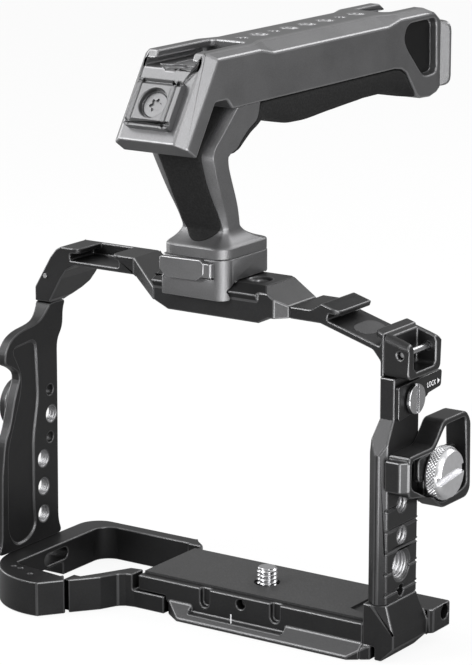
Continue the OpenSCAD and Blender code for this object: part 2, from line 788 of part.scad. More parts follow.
module lock_slide() {
    y0 = arm_front;
    y1 = y0 + lock_l;
    z1 = lock_z + 0.49 * lock_h;
    z0 = z1 - lock_h;
    r = lock_shank_r + slide;
    color("#5a5a5a")
        difference() {
            yz_plate(soft([[y0, z0], [y0 + 0.54 * lock_l, z0], [y0 + 0.65 * lock_l, z0 + 0.34 * lock_h],
                [y0 + 0.76 * lock_l, z1 - 0.46 * lock_h], [y1, z1 - 0.46 * lock_h], [y1, z1], [y0, z1]],
                2 * edge), post_out + slide, lock_t);
            for (y = [-lock_travel, lock_travel])
                translate([post_out, lock_y + y, lock_z])
                    rod_x(r, lock_t + 2 * over);
            translate([post_out, lock_y - lock_travel, lock_z - r])
                cube([lock_t + 2 * over, 2 * lock_travel, 2 * r]);
        }
}

module lock_screw() {
    head_x = post_out + lock_t + 2 * slide;
    color("#b0b0ac")
        difference() {
            union() {
                translate([neck_x + edge, lock_y, lock_z])
                    rod_x(lock_shank_r, head_x - neck_x);
                translate([head_x, lock_y, lock_z])
                    rod_x(lock_screw_d / 2, lock_head_t);
            }
            translate([head_x + lock_head_t / 2, lock_y - groove_w / 2, lock_z - lock_screw_d])
                cube([lock_head_t, groove_w, 2 * lock_screw_d]);
        }
}

// Cable clamp on the post: frame, sliding jaw and knurled knob
clip_out = post_out + clip_w;
clip_y0 = -base_front;
// Outline of the frame and of its opening, from the lower front corner of the tall part
clip_shares = [[0.052, 0.3], [0.052, 0.735], [0.08, 0.745], [0.4, 0.745], [0.45, 0.8], [0.57, 1],
    [0.92, 1], [0.99, 0.87], [1, 0.08], [0.94, 0], [0.56, 0], [0.37, 0.205], [0.1, 0.27]];
clip_open_shares = [[0.092, 0.38], [0.092, 0.69], [0.43, 0.69], [0.6, 0.935], [0.91, 0.935],
    [0.945, 0.14], [0.78, 0.09], [0.58, 0.1], [0.34, 0.2]];
knob_y = clip_y0 + 0.6 * clip_l;
knob_z = clip_z0 + 0.39 * clip_h;
knob_shank_r = 2;
jaw_in = 4.9;
jaw_x = clip_out - jaw_in;

module clip_frame() {
    wall_x = post_out - 2.5 * edge;
    color("#3e3e3e")
        difference() {
            union() {
                difference() {
                    translate([0, clip_y0, clip_z0])
                        yz_plate(soft(fit(clip_shares, clip_l, clip_h), clip_wall), post_out, clip_w);
                    translate([0, clip_y0, clip_z0])
                        yz_plate(soft(fit(clip_open_shares, clip_l, clip_h), clip_wall),
                            post_out - over, clip_w + 2 * over);
                }
                // Front block with its bevels
                xy_plate([[post_out, clip_y0 + post_bevel], [post_out, clip_y0],
                    [clip_out - post_bevel, clip_y0], [clip_out, clip_y0 + post_bevel]],
                    clip_z0 + 0.34 * clip_h, 0.35 * clip_h);
                // Wall behind the jaw, which the knob's shank is screwed into
                translate([wall_x, post_back + slide, clip_z0 + 0.06 * clip_h])
                    cube([jaw_x - slide - wall_x, clip_y0 + 0.97 * clip_l - post_back - slide, 0.48 * clip_h]);
            }
            translate([wall_x - over, knob_y, knob_z])
                rod_x(knob_shank_r + run, clip_w + 2 * over);
            // Round relief for the knob's rim
            translate([jaw_x + jaw_t, knob_y, knob_z])
                rod_x(knob_d / 2 + slide, clip_w);
        }
}

module clip_jaw() {
    w = 0.57 * clip_l;
    h = 0.28 * clip_h;
    r = knob_shank_r + slide;
    up = 2 * jaw_travel / 3;
    y0 = clip_y0 + 0.325 * clip_l;
    z0 = clip_z0 + 0.345 * clip_h;
    color("#606060")
        difference() {
            translate([0, y0, z0])
                yz_plate(soft([[0, 0], [0, h], [w, h], [w, 0]], clip_wall), jaw_x, jaw_t);
            translate([jaw_x - over, knob_y, knob_z + up])
                rod_x(r, jaw_t + 2 * over);
            translate([jaw_x - over, knob_y - r, z0 - over])
                cube([jaw_t + 2 * over, 2 * r, knob_z + up - z0 + over]);
        }
}

module clip_knob() {
    r = knob_d / 2;
    x0 = jaw_x + jaw_t + slide;
    color("#c4c4c0")
        difference() {
            union() {
                translate([post_out - edge, knob_y, knob_z])
                    rod_x(knob_shank_r, x0 - post_out + edge);
                translate([x0, knob_y, knob_z])
                    rod_x(r, knob_t - 2 * edge);
                translate([x0 + knob_t - 2 * edge, knob_y, knob_z])
                    rotate([0, 90, 0])
                        cylinder(r1 = r, r2 = r - 2 * edge, h = 2 * edge);
            }
            translate([x0 + knob_t - knob_slot, knob_y - r - over, knob_z - knob_slot / 2])
                cube([knob_slot + over, knob_d + 2 * over, knob_slot]);
        }
}

// Quick-release clamp: places that it shares with the rail and the handle
rail_slope = 2 * arm_t * tan(arm_slope) + 4 * edge;
hx = -handle_left;
qr_x0 = hx - qr_w / 2;
qr_lip = 3.7;
qr_y0 = block_front - qr_lip;
qr_r = 3.5;
qr_y1 = qr_y0 + qr_d;
qr_z0 = top_h + slide / 3;
jaw_z0 = top_h - jaw_drop;
jaw_deep = 2.8;
jaw_w = 0.76 * qr_w;
jaw_z1 = top_h + 0.68 * qr_h;
lever_x = qr_x0 + 0.16 * qr_w;
lever_back = 1.3;
lever_y = qr_y0 + lever_back;
lever_z0 = qr_z0 + 0.2 * qr_h;
lever_l = 0.66 * qr_w;
lever_in = 0.9;
lever_barrel_r = 1.7;
lever_pin_r = 0.8;

// Handle: places that its pieces share
half_w = grip_w / 2;
grip_y0 = -1.54 * neck_d;
grip_y1 = grip_y0 + grip_l;
grip_top = top_h + handle_h;
grip_z0 = grip_top - grip_h;
lead = [grip_y0 - 1.5 * grip_bevel + edge / 3, grip_top];
slab_t = 8.7;
slab_bevel = 3.2;
slab_drop = 1.08 * plate_h;
slab_b = lead + slab_drop * [-tan(front_lean), -1];
slab_c = slab_b + slab_t * [cos(front_lean), -sin(front_lean)];
// A point on the slab's back face at height z
function slab_back(z) = [slab_c[0] + (z - slab_c[1]) * tan(front_lean), z];
notch_z = grip_z0 + grip_bevel;
bevel_tilt = 29.5;
wide_bevel = 1.3;
grip_floor = grip_top - edge - lip_t - shoe_h;
rear_shares = [[0.25, 0.09], [0, 0.27]];
tail_shares = [[0, 0.94], [0.13, 1.08], [0.38, 1.18], [0.76, 1.15], [0.88, 1.01], [1.26, 0.21],
    [1.44, 0.06], [1.69, 0]];
pocket_in = 3;
grip_pocket_shares = [[1.22, 0.21], [0.17, 0.2], [0.146, 1.2], [0.25, 1.26], [0.62, 1.27], [0.78, 1.13],
    [1.27, 0.65], [1.36, 0.45]];

function from_rear(shares) = [for (p = shares) [grip_y1 - p[0] * grip_h, grip_top - p[1] * grip_h]];

module grip_outline() {
    tail = [for (p = tail_shares) [grip_y1 - p[0] * grip_h, grip_z0 - p[1] * finger_pad_h]];
    yz_plate(concat([lead, slab_b, slab_c, slab_back(notch_z), [grip_y0 + grip_bevel, notch_z],
        [grip_y0 + 2 * grip_bevel, grip_z0]], [for (i = [len(tail) - 1:-1:0]) tail[i]],
        [for (i = [1:-1:0]) from_rear(rear_shares)[i]], [[grip_y1 - 0.4 * grip_h, grip_top]]),
        hx - half_w, grip_w);
}

// Wedge that takes the upper edge off one side of the grip, deeper along the middle
module edge_cut(side) {
    translate([hx + side * half_w, grip_y0, grip_top - grip_bevel * tan(bevel_tilt)])
        rotate([0, side * bevel_tilt, 0])
            yz_plate([[-grip_l, 0], [0.165 * grip_l, 0], [0.22 * grip_l, -wide_bevel],
                [0.74 * grip_l, -wide_bevel], [0.8 * grip_l, 0], [2 * grip_l, 0],
                [2 * grip_l, grip_h], [-grip_l, grip_h]], -grip_w, 2 * grip_w);
}

// Shoe in the grip's top, from its mouth inwards
module grip_shoe(l) {
    r = edge + shoe_h;
    translate([0, 0, grip_floor])
        linear_extrude(shoe_h)
            polygon(soft([[-shoe_w / 2, -grip_h], [shoe_w / 2, -grip_h], [shoe_w / 2, l], [-shoe_w / 2, l]], r));
    translate([0, 0, grip_floor])
        linear_extrude(grip_h)
            polygon(soft([[-shoe_gap / 2, -grip_h], [shoe_gap / 2, -grip_h],
                [shoe_gap / 2, l], [-shoe_gap / 2, l]], r));
}

// Holes along the grip's top, as shares of its length
big_hole_shares = [0.309, 0.441, 0.521, 0.604, 0.749];
small_hole_shares = [0.236, 0.374, 0.674];
shoe_in = 24;

module handle_grip() {
    color("#8c8c8c")
        difference() {
            grip_outline();
            for (side = [-1, 1])
                edge_cut(side);
            // Upright bevels beside the front plate
            for (side = [-1, 1])
                translate([hx + side * half_w, lead[0], lead[1]])
                    rotate([-front_lean, 0, 0])
                        linear_extrude(8 * slab_t, center = true)
                            polygon([[-side * (slab_bevel + over), -over], [side * over, -over],
                                [side * over, slab_bevel + over]]);
            // Shoes at both ends
            translate([hx, grip_y0 - edge, 0])
                grip_shoe(shoe_in);
            translate([hx, grip_y1 + edge, 0])
                rotate([0, 0, 180])
                    grip_shoe(shoe_in);
            // Finger notch in the front shoe's mouth
            translate([hx, lead[0] - edge, grip_floor - edge])
                cylinder(r = shoe_gap / 4, h = grip_h);
            for (q = big_hole_shares)
                translate([hx, grip_y0 + q * grip_l, grip_z0 - over])
                    cylinder(r = quarter_r, h = grip_h + 2 * over);
            for (q = small_hole_shares)
                translate([hx, grip_y0 + q * grip_l, grip_top - 0.31 * grip_h])
                    cylinder(r = locate_r, h = 0.31 * grip_h + over);
            // Pockets at the rear, on both sides
            for (x = [-half_w - over, half_w - pocket_in])
                yz_plate(soft(from_rear(grip_pocket_shares), pocket_in), hx + x, pocket_in + over);
            // Seat of the front plate's screw
            on_front()
                translate([0, 0, -0.8 * slab_t])
                    cylinder(r = plate_screw_r + run, h = slab_t);
            for (x = [-1, 1])
                translate([hx + x * grip_w / 3.4, grip_y1 - 3 * end_screw_r, grip_z0 + grip_h / 5])
                    rod_y(end_screw_r + run, 3 * end_screw_r + over);
        }
}

// Black liners in the rear pockets
module rear_inserts() {
    inner = [for (p = grip_pocket_shares) [p[0] - (p[0] - 0.75) * 0.06, p[1] - (p[1] - 0.75) * 0.06]];
    color("#202020")
        for (x = [-half_w + pocket_in - edge, half_w - pocket_in])
            yz_plate(soft(from_rear(inner), pocket_in), hx + x, edge);
}

// Triangles that close an outline of n points, between its first half and its second
function strip(n) = [for (k = [0:ceil(n / 2) - 2]) each concat([[k, k + 1, n - 1 - k]],
    k + 1 < n - 2 - k ? [[k + 1, n - 2 - k, n - 1 - k]] : [])];

// Solid through a row of closed outlines with equal counts of points
module loft(rows) {
    n = len(rows[0]);
    m = len(rows);
    points = [for (row = rows) for (q = row) q];
    sides = [for (j = [0:m - 2]) for (i = [0:n - 1]) for (f = [0, 1])
        let (a = j * n + i, b = j * n + (i + 1) % n, c = a + n, d = b + n)
            f == 0 ? [a, d, b] : [a, c, d]];
    polyhedron(points, concat(strip(n), sides,
        [for (t = strip(n)) [for (i = [2:-1:0]) (m - 1) * n + t[i]]]));
}

// Handle: neck, lofted across its width with a bevel along the front edges
foot_z0 = qr_z0 + qr_h;
foot_z1 = foot_z0 + foot_plate_t;
flare_h = 4.9;
neck_z = foot_z1 + flare_h;
neck_bevel = 2.6;
neck_lead = 1.2;
neck_span = grip_z0 - neck_z;
// Front and rear edge of the neck's side: reach from the grip's leading edge, and height above the foot's top
neck_front_shares = [[0.7, 1], [0.38, 0.87], [0.11, 0.77], [-0.07, 0.7], [-0.12, 0.64], [-0.05, 0.57],
    [0.32, 0.31], [0.63, 0.125], [0.83, -0.02]];
neck_rear_shares = [[1.34, -0.02], [1.13, 0.18], [0.66, 0.49], [0.58, 0.565], [0.59, 0.62], [0.85, 0.655],
    [1.05, 0.725], [1.3, 0.8], [1.59, 0.86], [1.66, 1]];
function neck_half(z) = neck_w / 2 + (half_w - neck_w / 2) * (z - neck_z) / (notch_z - neck_z);
function neck_at(q, x_in, ahead) = let (z = neck_z + q[1] * neck_span)
    [neck_half(z) - x_in, grip_y0 + q[0] * neck_d - ahead, z];
function neck_row(x_in, ahead) = concat([for (q = neck_front_shares) neck_at(q, x_in, ahead)],
    [for (q = neck_rear_shares) neck_at(q, x_in, 0)]);
function mirrored(row) = [for (q = row) [-q[0], q[1], q[2]]];

module foot_layer(k, z) {
    w = neck_w + k * (qr_w - neck_w);
    d = neck_d - edge + k * (qr_d - neck_d + edge);
    y = grip_y0 + 0.37 * neck_d + k * (qr_y0 - grip_y0 - 0.37 * neck_d);
    translate([hx - w / 2, y, z])
        linear_extrude(edge / 3)
            polygon(soft([[0, 0], [w, 0], [w, d], [0, d]], qr_r));
}

module handle_neck() {
    inner = neck_row(neck_bevel, neck_lead);
    outer = neck_row(0, 0);
    color("#808080")
        difference() {
            union() {
                translate([hx, 0, 0])
                    loft([mirrored(outer), mirrored(inner), inner, outer]);
                for (k = [[0, 0.22, 0.06], [0.22, 0.6, 0.32], [0.6, 1, 0.68]])
                    hull() {
                        foot_layer(k[0], neck_z - k[2] * (neck_z - foot_z1) + edge);
                        foot_layer(k[1], neck_z - (k[2] + 0.3) * (neck_z - foot_z1));
                    }
                translate([qr_x0, qr_y0, foot_z0])
                    linear_extrude(foot_plate_t + edge / 3)
                        polygon(soft([[0, 0], [qr_w, 0], [qr_w, qr_d], [0, qr_d]], qr_r));
            }
        }
}

// Rubber pads: front of the neck, and finger pad under the grip
pad_t2 = 0.8;
pad_gap = 0.1;
pad_front_share = 0.34;

module neck_pad() {
    n = len(neck_front_shares) - 1;
    low_share = [0.77, 0.02];
    rows = [for (i = [0:n]) i < n ? neck_front_shares[i] : low_share];
    front = [for (i = [n:-1:4]) let (q = neck_at(rows[i], 0, neck_lead + pad_t2)) [q[1], q[2]]];
    back = [for (i = [0:n]) let (q = neck_at(rows[i], 0, neck_lead + pad_gap)) [q[1], q[2]]];
    y1 = grip_y0 - pad_front_share * neck_d;
    slab_z = slab_c[1] + (y1 - 2 * pad_gap - slab_c[0]) / tan(front_lean);
    w = neck_bevel + pad_gap;
    color("#282828")
        intersection() {
            yz_plate(concat(front, [[y1, neck_z + 0.68 * neck_span], [y1, slab_z],
                slab_back(notch_z - pad_gap) + [2 * pad_gap, 0],
                [grip_y0 + grip_bevel - pad_gap, notch_z - pad_gap],
                [grip_y0 + 2 * grip_bevel - pad_gap, grip_z0 - pad_gap],
                [back[0][0], grip_z0 - pad_gap]],
                [for (i = [1:len(back) - 1]) back[i]]), hx - half_w, grip_w);
            xz_plate([[hx - neck_half(neck_z) + w, neck_z], [hx - neck_half(notch_z) + w, notch_z],
                [hx + neck_half(notch_z) - w, notch_z], [hx + neck_half(neck_z) - w, neck_z]],
                -grip_l, 2 * grip_l);
        }
}

// Underside of the finger pad, from the neck to the rear: shares of the grip's length and of the pad's depth
pad_under_shares = [[0.093, 1.44], [0.114, 1.37], [0.133, 1.19], [0.155, 0.98], [0.176, 0.81], [0.212, 0.71],
    [0.253, 0.77], [0.3, 0.93], [0.348, 1.05], [0.392, 1.07], [0.5, 0.97], [0.64, 0.85], [0.78, 0.84],
    [0.85, 1.05], [0.875, 1.11]];
// Across the pad: place from the middle as a share of the half width, and depth as a share of the underside
pad_row_shares = [[-1, 0.38], [-0.94, 0.68], [-0.8, 0.88], [-0.5, 0.98], [0.5, 0.98], [0.8, 0.88],
    [0.94, 0.68], [1, 0.38]];

// One lengthwise section of the finger pad
function pad_row(x, k) = let (
    under = [for (p = pad_under_shares) [grip_y0 + p[0] * grip_l, grip_z0 - p[1] * finger_pad_h]],
    // The neck's rear edge, the grip's underside and the grip's tail, from the front on
    rear = [for (i = [4:len(neck_rear_shares) - 1])
        let (q = neck_at(neck_rear_shares[i], 0, -pad_gap)) [q[1], min(q[2], grip_z0 - pad_gap)]],
    tail = [for (i = [len(tail_shares) - 1:-1:4])
        [grip_y1 - tail_shares[i][0] * grip_h - 2 * pad_gap,
            grip_z0 - tail_shares[i][1] * finger_pad_h - pad_gap]],
    top = [for (i = [len(rear):len(under) - 1 - len(tail)]) [under[i][0], grip_z0 - pad_gap]],
    inner = concat(rear, top, tail),
    outer = [for (i = [0:len(inner) - 1]) inner[i] + (under[i] - inner[i]) * k],
    back = [for (i = [len(inner) - 1:-1:0]) inner[i]])
    [for (q = concat(outer, back)) [x * pad_width_share(q), q[0], q[1]]];

// The pad narrows with the neck: width at a point as a share of the grip's width
function pad_width_share(q) = let (narrow = neck_half(q[1]) / half_w,
    t = (q[0] - grip_y0 - 1.4 * neck_d) / neck_d)
    narrow + (1 - narrow) * max(0, min(1, t));

module finger_pad() {
    color("#242424")
        translate([hx, 0, 0])
            loft([for (r = pad_row_shares) pad_row(r[0] * half_w, r[1])]);
}

// Square plate on the handle's front, with a round recess for its screw
plate_screw_r = 2.5;
plate_recess_r = 5.5;
plate_recess_t = 1.9;

// Frame of the front plate: its middle, with Z along the outward normal
module on_front() {
    c = lead + 0.553 * slab_drop * [-tan(front_lean), -1];
    translate([hx, c[0], c[1]])
        rotate([90 - front_lean, 0, 0])
            children();
}

module front_plate() {
    w = plate_w / 2;
    h = plate_h / 2;
    in = plate_t - edge;
    color("#9c9c9c")
        on_front()
            difference() {
                intersection() {
                    linear_extrude(plate_t)
                        polygon(soft([[-w, -h], [w, -h], [w, h], [-w, h]], 2 * edge));
                    rotate([90, 0, 0])
                        linear_extrude(2 * plate_h, center = true)
                            polygon([[-w, -over], [-w, edge], [-w + in, plate_t], [w - in, plate_t], [w, edge], [w, -over]]);
                    rotate([90, 0, 90])
                        linear_extrude(2 * plate_w, center = true)
                            polygon([[-h, -over], [-h, edge], [-h + in, plate_t], [h - in, plate_t], [h, edge], [h, -over]]);
                }
                translate([0, 0, plate_t - plate_recess_t])
                    cylinder(r = plate_recess_r, h = plate_recess_t + over);
                translate([0, 0, -over])
                    cylinder(r = plate_screw_r + run, h = plate_t + over);
            }
}

module front_plate_screw() {
    color("#6e6e6e")
        on_front()
            difference() {
                union() {
                    translate([0, 0, plate_t - plate_recess_t])
                        cylinder(r = plate_recess_r - 2 * edge, h = plate_recess_t - edge);
                    translate([0, 0, -0.7 * slab_t])
                        cylinder(r = plate_screw_r, h = 0.7 * slab_t + plate_t - plate_recess_t);
                }
                translate([0, 0, plate_t - plate_recess_t + edge])
                    cylinder(r = plate_screw_r, h = plate_t, $fn = 6);
            }
}

// End plate on the grip's rear face
end_screw_r = 1.5;
end_over = 2;

module end_plate() {
    w = half_w + end_over;
    z0 = grip_z0 - 0.93 * finger_pad_h;
    z1 = grip_top - 0.29 * grip_h;
    t = plate_t + edge / 2;
    color("#a0a0a0")
        translate([hx, grip_y1, 0])
            difference() {
                intersection() {
                    translate([0, t, 0])
                        rotate([90, 0, 0])
                            linear_extrude(t)
                                polygon(soft([[-w, z0], [w, z0], [w, z1], [-w, z1]], qr_r));
                    linear_extrude(grip_top)
                        polygon([[-half_w + edge, 0], [-w, end_over + edge], [-w, t], [w, t], [w, end_over + edge],
                            [half_w - edge, 0]]);
                }
                for (x = [-1, 1]) {
                    translate([x * grip_w / 3.4, -over, grip_z0 + grip_h / 5])
                        rod_y(end_screw_r + run, t + 2 * over);
                    translate([x * grip_w / 3.4, t / 2, grip_z0 + grip_h / 5])
                        rod_y(2 * end_screw_r, t);
                }
            }
}

module end_plate_screws() {
    t = plate_t + edge / 2;
    color("#6a6a6a")
        for (x = [-1, 1])
            translate([hx + x * grip_w / 3.4, grip_y1, grip_z0 + grip_h / 5])
                difference() {
                    union() {
                        translate([0, -2 * end_screw_r, 0])
                            rod_y(end_screw_r, t / 2 + 2 * end_screw_r);
                        translate([0, t / 2, 0])
                            rod_y(2 * end_screw_r - slide / 2, t / 2 - edge / 2);
                    }
                    translate([0, t / 2 + edge, 0])
                        rotate([-90, 0, 0])
                            cylinder(r = end_screw_r, h = t, $fn = 6);
                }
}

// Inner side of a jaw, following the rail with its clearance
module rail_shape(grow) {
    yz_plate([[rail_front + rail_point - grow, top_h - block_h], [rail_front + rail_point - grow, groove_z],
        [rail_front - grow, rail_z], [rail_front + rail_slope - grow, top_h + grow], [rail_rear + grow, top_h + grow],
        [rail_rear + grow, rail_z], [rail_rear - rail_point + grow, groove_z],
        [rail_rear - rail_point + grow, top_h - block_h]], qr_x0 - qr_w, 3 * qr_w);
}

module qr_body() {
    color("#8a8a8a")
        difference() {
            union() {
                translate([qr_x0, qr_y0, qr_z0])
                    linear_extrude(foot_z0 - qr_z0)
                        polygon(soft([[0, 0], [qr_w, 0], [qr_w, qr_d], [0, qr_d]], qr_r));
                // Fixed jaw over the rail's front edge
                translate([qr_x0, qr_y0, jaw_z0])
                    linear_extrude(qr_z0 - jaw_z0 + over)
                        polygon(soft([[0, 0], [qr_w, 0], [qr_w, rail_front + rail_slope - qr_y0],
                            [0, rail_front + rail_slope - qr_y0]], qr_r / 2));
            }
            rail_shape(slide);
            // Seat of the lever in the front face, and of its barrel
            translate([lever_x, qr_y0 - over, lever_z0 - slide / 2])
                cube([lever_l + slide, lever_in + over, lever_h + slide]);
            translate([lever_x, lever_y, lever_z0 - slide / 2])
                cylinder(r = lever_barrel_r + slide, h = lever_h + slide);
            translate([lever_x, lever_y, lever_z0 - 2 * edge])
                cylinder(r = lever_pin_r, h = lever_h + 3 * edge);
            // Guide of the movable jaw
            translate([hx - jaw_w / 2 - slide, qr_y1 - 2 * jaw_deep, jaw_z0 - over])
                cube([jaw_w + 2 * slide, 2 * jaw_deep + over, jaw_z1 + slide - jaw_z0 + over]);
        }
}

module qr_rear_jaw() {
    back = qr_y1 - rail_jaw_travel / 4;
    front = rail_rear - rail_point + slide;
    color("#707070")
        difference() {
            union() {
                translate([hx - jaw_w / 2, front, jaw_z0])
                    cube([jaw_w, back - front, top_h - jaw_z0 + slide]);
                translate([hx - jaw_w / 2, qr_y1 - 2 * jaw_deep + slide, top_h + slide])
                    cube([jaw_w, back - qr_y1 + 2 * jaw_deep - slide, jaw_z1 - top_h - slide]);
            }
            rail_shape(slide);
        }
}

module qr_lever() {
    color("#b4b4b4")
        difference() {
            union() {
                translate([lever_x, qr_y0 + lever_in - slide - lever_t, lever_z0])
                    cube([lever_l, lever_t, lever_h]);
                translate([lever_x, lever_y, lever_z0])
                    cylinder(r = lever_barrel_r, h = lever_h);
            }
            translate([lever_x, lever_y, lever_z0 - over])
                cylinder(r = lever_pin_r + run, h = lever_h + 2 * over);
            // Thumb groove near the free end
            translate([lever_x + 0.78 * lever_l, qr_y0 - lever_t, lever_z0 - over])
                cube([edge, edge + lever_t - lever_in, lever_h + 2 * over]);
        }
}

module qr_lever_pin() {
    color("#5a5a5a")
        translate([lever_x, lever_y, lever_z0 - 2 * edge])
            cylinder(r = lever_pin_r, h = lever_h + 3 * edge);
}

// Small screws in the cage: two at the arch, three on the ring's nose
nose_screw_shares = [[-0.885, -0.76], [-0.85, -0.77], [-0.78, -0.84]];
cage_screw_r = 1.5;

module cage_screws() {
    left = -panel_x - arch_wall;
    z = panel_z1 + 1.45 * arch_wall;
    color("#bcbcb8") {
        translate([left + 0.75 * arch_wall, arch_front - edge, z])
            rod_y(cage_screw_r / 2, edge);
        translate([left - edge, arch_front + 2 * cage_screw_r, panel_z1 + cage_screw_r])
            rod_x(cage_screw_r, edge);
        for (p = nose_screw_shares)
            translate([p[0] * ring_out, p[1] * nose_reach, ring_h - edge])
                cylinder(r = edge, h = edge / 2);
    }
}

// Flat springs on the floors of the handle's two shoes
spring_t = 0.4;

module shoe_springs() {
    w = 0.7 * shoe_w;
    for (y = [lead[0] + 2 * edge, grip_y1 - shoe_in + 3 * edge])
        color("#a8a8a4")
            translate([hx - w / 2, y, grip_floor])
                difference() {
                    cube([w, shoe_in - 6 * edge, spring_t]);
                    for (x = [0.25, 0.7])
                        translate([x * w, 3 * edge, -over])
                            cube([edge / 2, shoe_in - 12 * edge, spring_t + 2 * over]);
                    if (y < 0)
                        translate([w / 2, -3 * edge, -over])
                            cylinder(r = shoe_gap / 4 + slide, h = spring_t + 2 * over);
                }
}

base_plate();
base_pad();
camera_screw();
battery_ring();
front_link();
left_panel();
left_arch();
centre_block();
right_arm();
right_post();
post_foot();
strap_box();
strap_pin();
lock_slide();
lock_screw();
clip_frame();
clip_jaw();
clip_knob();
strap_socket();
cage_screws();
shoe_springs();
handle_grip();
rear_inserts();
handle_neck();
neck_pad();
finger_pad();
front_plate();
front_plate_screw();
end_plate();
end_plate_screws();
qr_body();
qr_rear_jaw();
qr_lever();
qr_lever_pin();
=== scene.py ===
"""Looks of a camera cage with a top handle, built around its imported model. Metres, in the model's own frame:
+X is the cable clamp's side, -Y the lens side, +Z up, with the origin under the camera screw."""

import math

import bmesh
import bpy
from mathutils import Matrix, Vector


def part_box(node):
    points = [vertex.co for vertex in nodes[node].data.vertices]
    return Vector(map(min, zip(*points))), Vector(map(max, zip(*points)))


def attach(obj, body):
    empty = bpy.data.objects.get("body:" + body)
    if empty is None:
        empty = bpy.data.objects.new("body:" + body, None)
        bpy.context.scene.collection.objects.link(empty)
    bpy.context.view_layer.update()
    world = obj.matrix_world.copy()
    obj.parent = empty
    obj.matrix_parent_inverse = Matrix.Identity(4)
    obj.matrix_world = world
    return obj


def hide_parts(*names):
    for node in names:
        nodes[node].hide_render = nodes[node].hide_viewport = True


MM = 0.001
WELD_GAP = 0.004 * MM
FLAT_ANGLE = math.radians(0.6)
EDGE_ANGLE = math.radians(28.0)

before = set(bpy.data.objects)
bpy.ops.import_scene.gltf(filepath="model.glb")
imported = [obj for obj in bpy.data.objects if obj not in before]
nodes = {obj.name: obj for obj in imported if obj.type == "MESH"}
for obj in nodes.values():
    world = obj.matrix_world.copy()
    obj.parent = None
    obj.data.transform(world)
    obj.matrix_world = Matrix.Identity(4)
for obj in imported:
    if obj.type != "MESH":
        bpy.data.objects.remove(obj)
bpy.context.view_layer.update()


# Shader groups that several finishes share

FLOAT = "NodeSocketFloat"
VECTOR = "NodeSocketVector"


def new_group(name, inputs, outputs):
    """An empty shader group with float or vector sockets, and its input and output nodes."""
    group = bpy.data.node_groups.new(name, "ShaderNodeTree")
    for label, kind, value in inputs:
        socket = group.interface.new_socket(label, in_out="INPUT", socket_type=kind)
        socket.default_value = value
    for label, kind in outputs:
        group.interface.new_socket(label, in_out="OUTPUT", socket_type=kind)
    return group, group.nodes.new("NodeGroupInput"), group.nodes.new("NodeGroupOutput")


def feed(tree, socket, value):
    """Link a socket to another node's output, or set it to a number, a place or a colour."""
    if isinstance(value, bpy.types.NodeSocket):
        tree.links.new(value, socket)
    elif socket.type == "RGBA":
        socket.default_value = (*value, 1.0)
    else:
        socket.default_value = value


def set_inputs(tree, node, **values):
    """Feed a node's inputs by name, with underscores for spaces."""
    for name, value in values.items():
        feed(tree, node.inputs[name.replace("_", " ")], value)
    return node


def math_node(tree, operation, *values):
    node = tree.nodes.new("ShaderNodeMath")
    node.operation = operation
    for socket, value in zip(node.inputs, values):
        feed(tree, socket, value)
    return node.outputs[0]


def multiply_add(tree, value, factor, addend):
    return math_node(tree, "MULTIPLY_ADD", value, factor, addend)


def noise_node(tree, coordinate, scale, detail=3.0, roughness=0.5):
    node = tree.nodes.new("ShaderNodeTexNoise")
    set_inputs(tree, node, Vector=coordinate, Scale=scale, Detail=detail, Roughness=roughness)
    return node.outputs["Fac"]


def object_place(tree):
    """Position in the object's own frame, in metres."""
    return tree.nodes.new("ShaderNodeTexCoord").outputs["Object"]


def vector_node(tree, operation, a, b, output=0):
    node = tree.nodes.new("ShaderNodeVectorMath")
    node.operation = operation
    feed(tree, node.inputs[0], a)
    feed(tree, node.inputs[1], b)
    return node.outputs[output]


def ramp(tree, value, low, high):
    """A value mapped from low..high to 0..1, clamped."""
    node = tree.nodes.new("ShaderNodeMapRange")
    set_inputs(tree, node, Value=value, From_Min=low, From_Max=high)
    return node.outputs["Result"]


def edge_mask_group():
    """Where a surface turns over an edge: 1 on the edge, 0 on the flat, and the normal rounded over it."""
    group, entry, out = new_group(
        "edge_mask",
        [("Width", FLOAT, 0.3 * MM)],
        [("Mask", FLOAT), ("Normal", VECTOR)],
    )
    bevel = group.nodes.new("ShaderNodeBevel")
    bevel.samples = 6
    set_inputs(group, bevel, Radius=entry.outputs["Width"])
    geometry = group.nodes.new("ShaderNodeNewGeometry")
    facing = vector_node(group, "DOT_PRODUCT", bevel.outputs["Normal"], geometry.outputs["Normal"], "Value")
    turned = math_node(group, "SUBTRACT", 1.0, facing)
    set_inputs(group, out, Mask=ramp(group, turned, 0.02, 0.2), Normal=bevel.outputs["Normal"])
    return group


def blasted_group():
    """Bead-blasted metal: fine pits for the bump, a speckle for the colour, and a slow mottle for both."""
    group, entry, out = new_group(
        "blasted",
        [("Pits per metre", FLOAT, 5200.0)],
        [("Pits", FLOAT), ("Speckle", FLOAT), ("Mottle", FLOAT)],
    )
    place = object_place(group)
    fine = noise_node(group, place, entry.outputs["Pits per metre"], 2.0, 0.6)
    grain = noise_node(group, place, 2600.0, 1.0, 0.5)
    slow = noise_node(group, place, 90.0, 4.0, 0.55)
    speckle, mottle = ramp(group, grain, 0.35, 0.65), ramp(group, slow, 0.3, 0.7)
    set_inputs(group, out, Pits=fine, Speckle=speckle, Mottle=mottle)
    return group


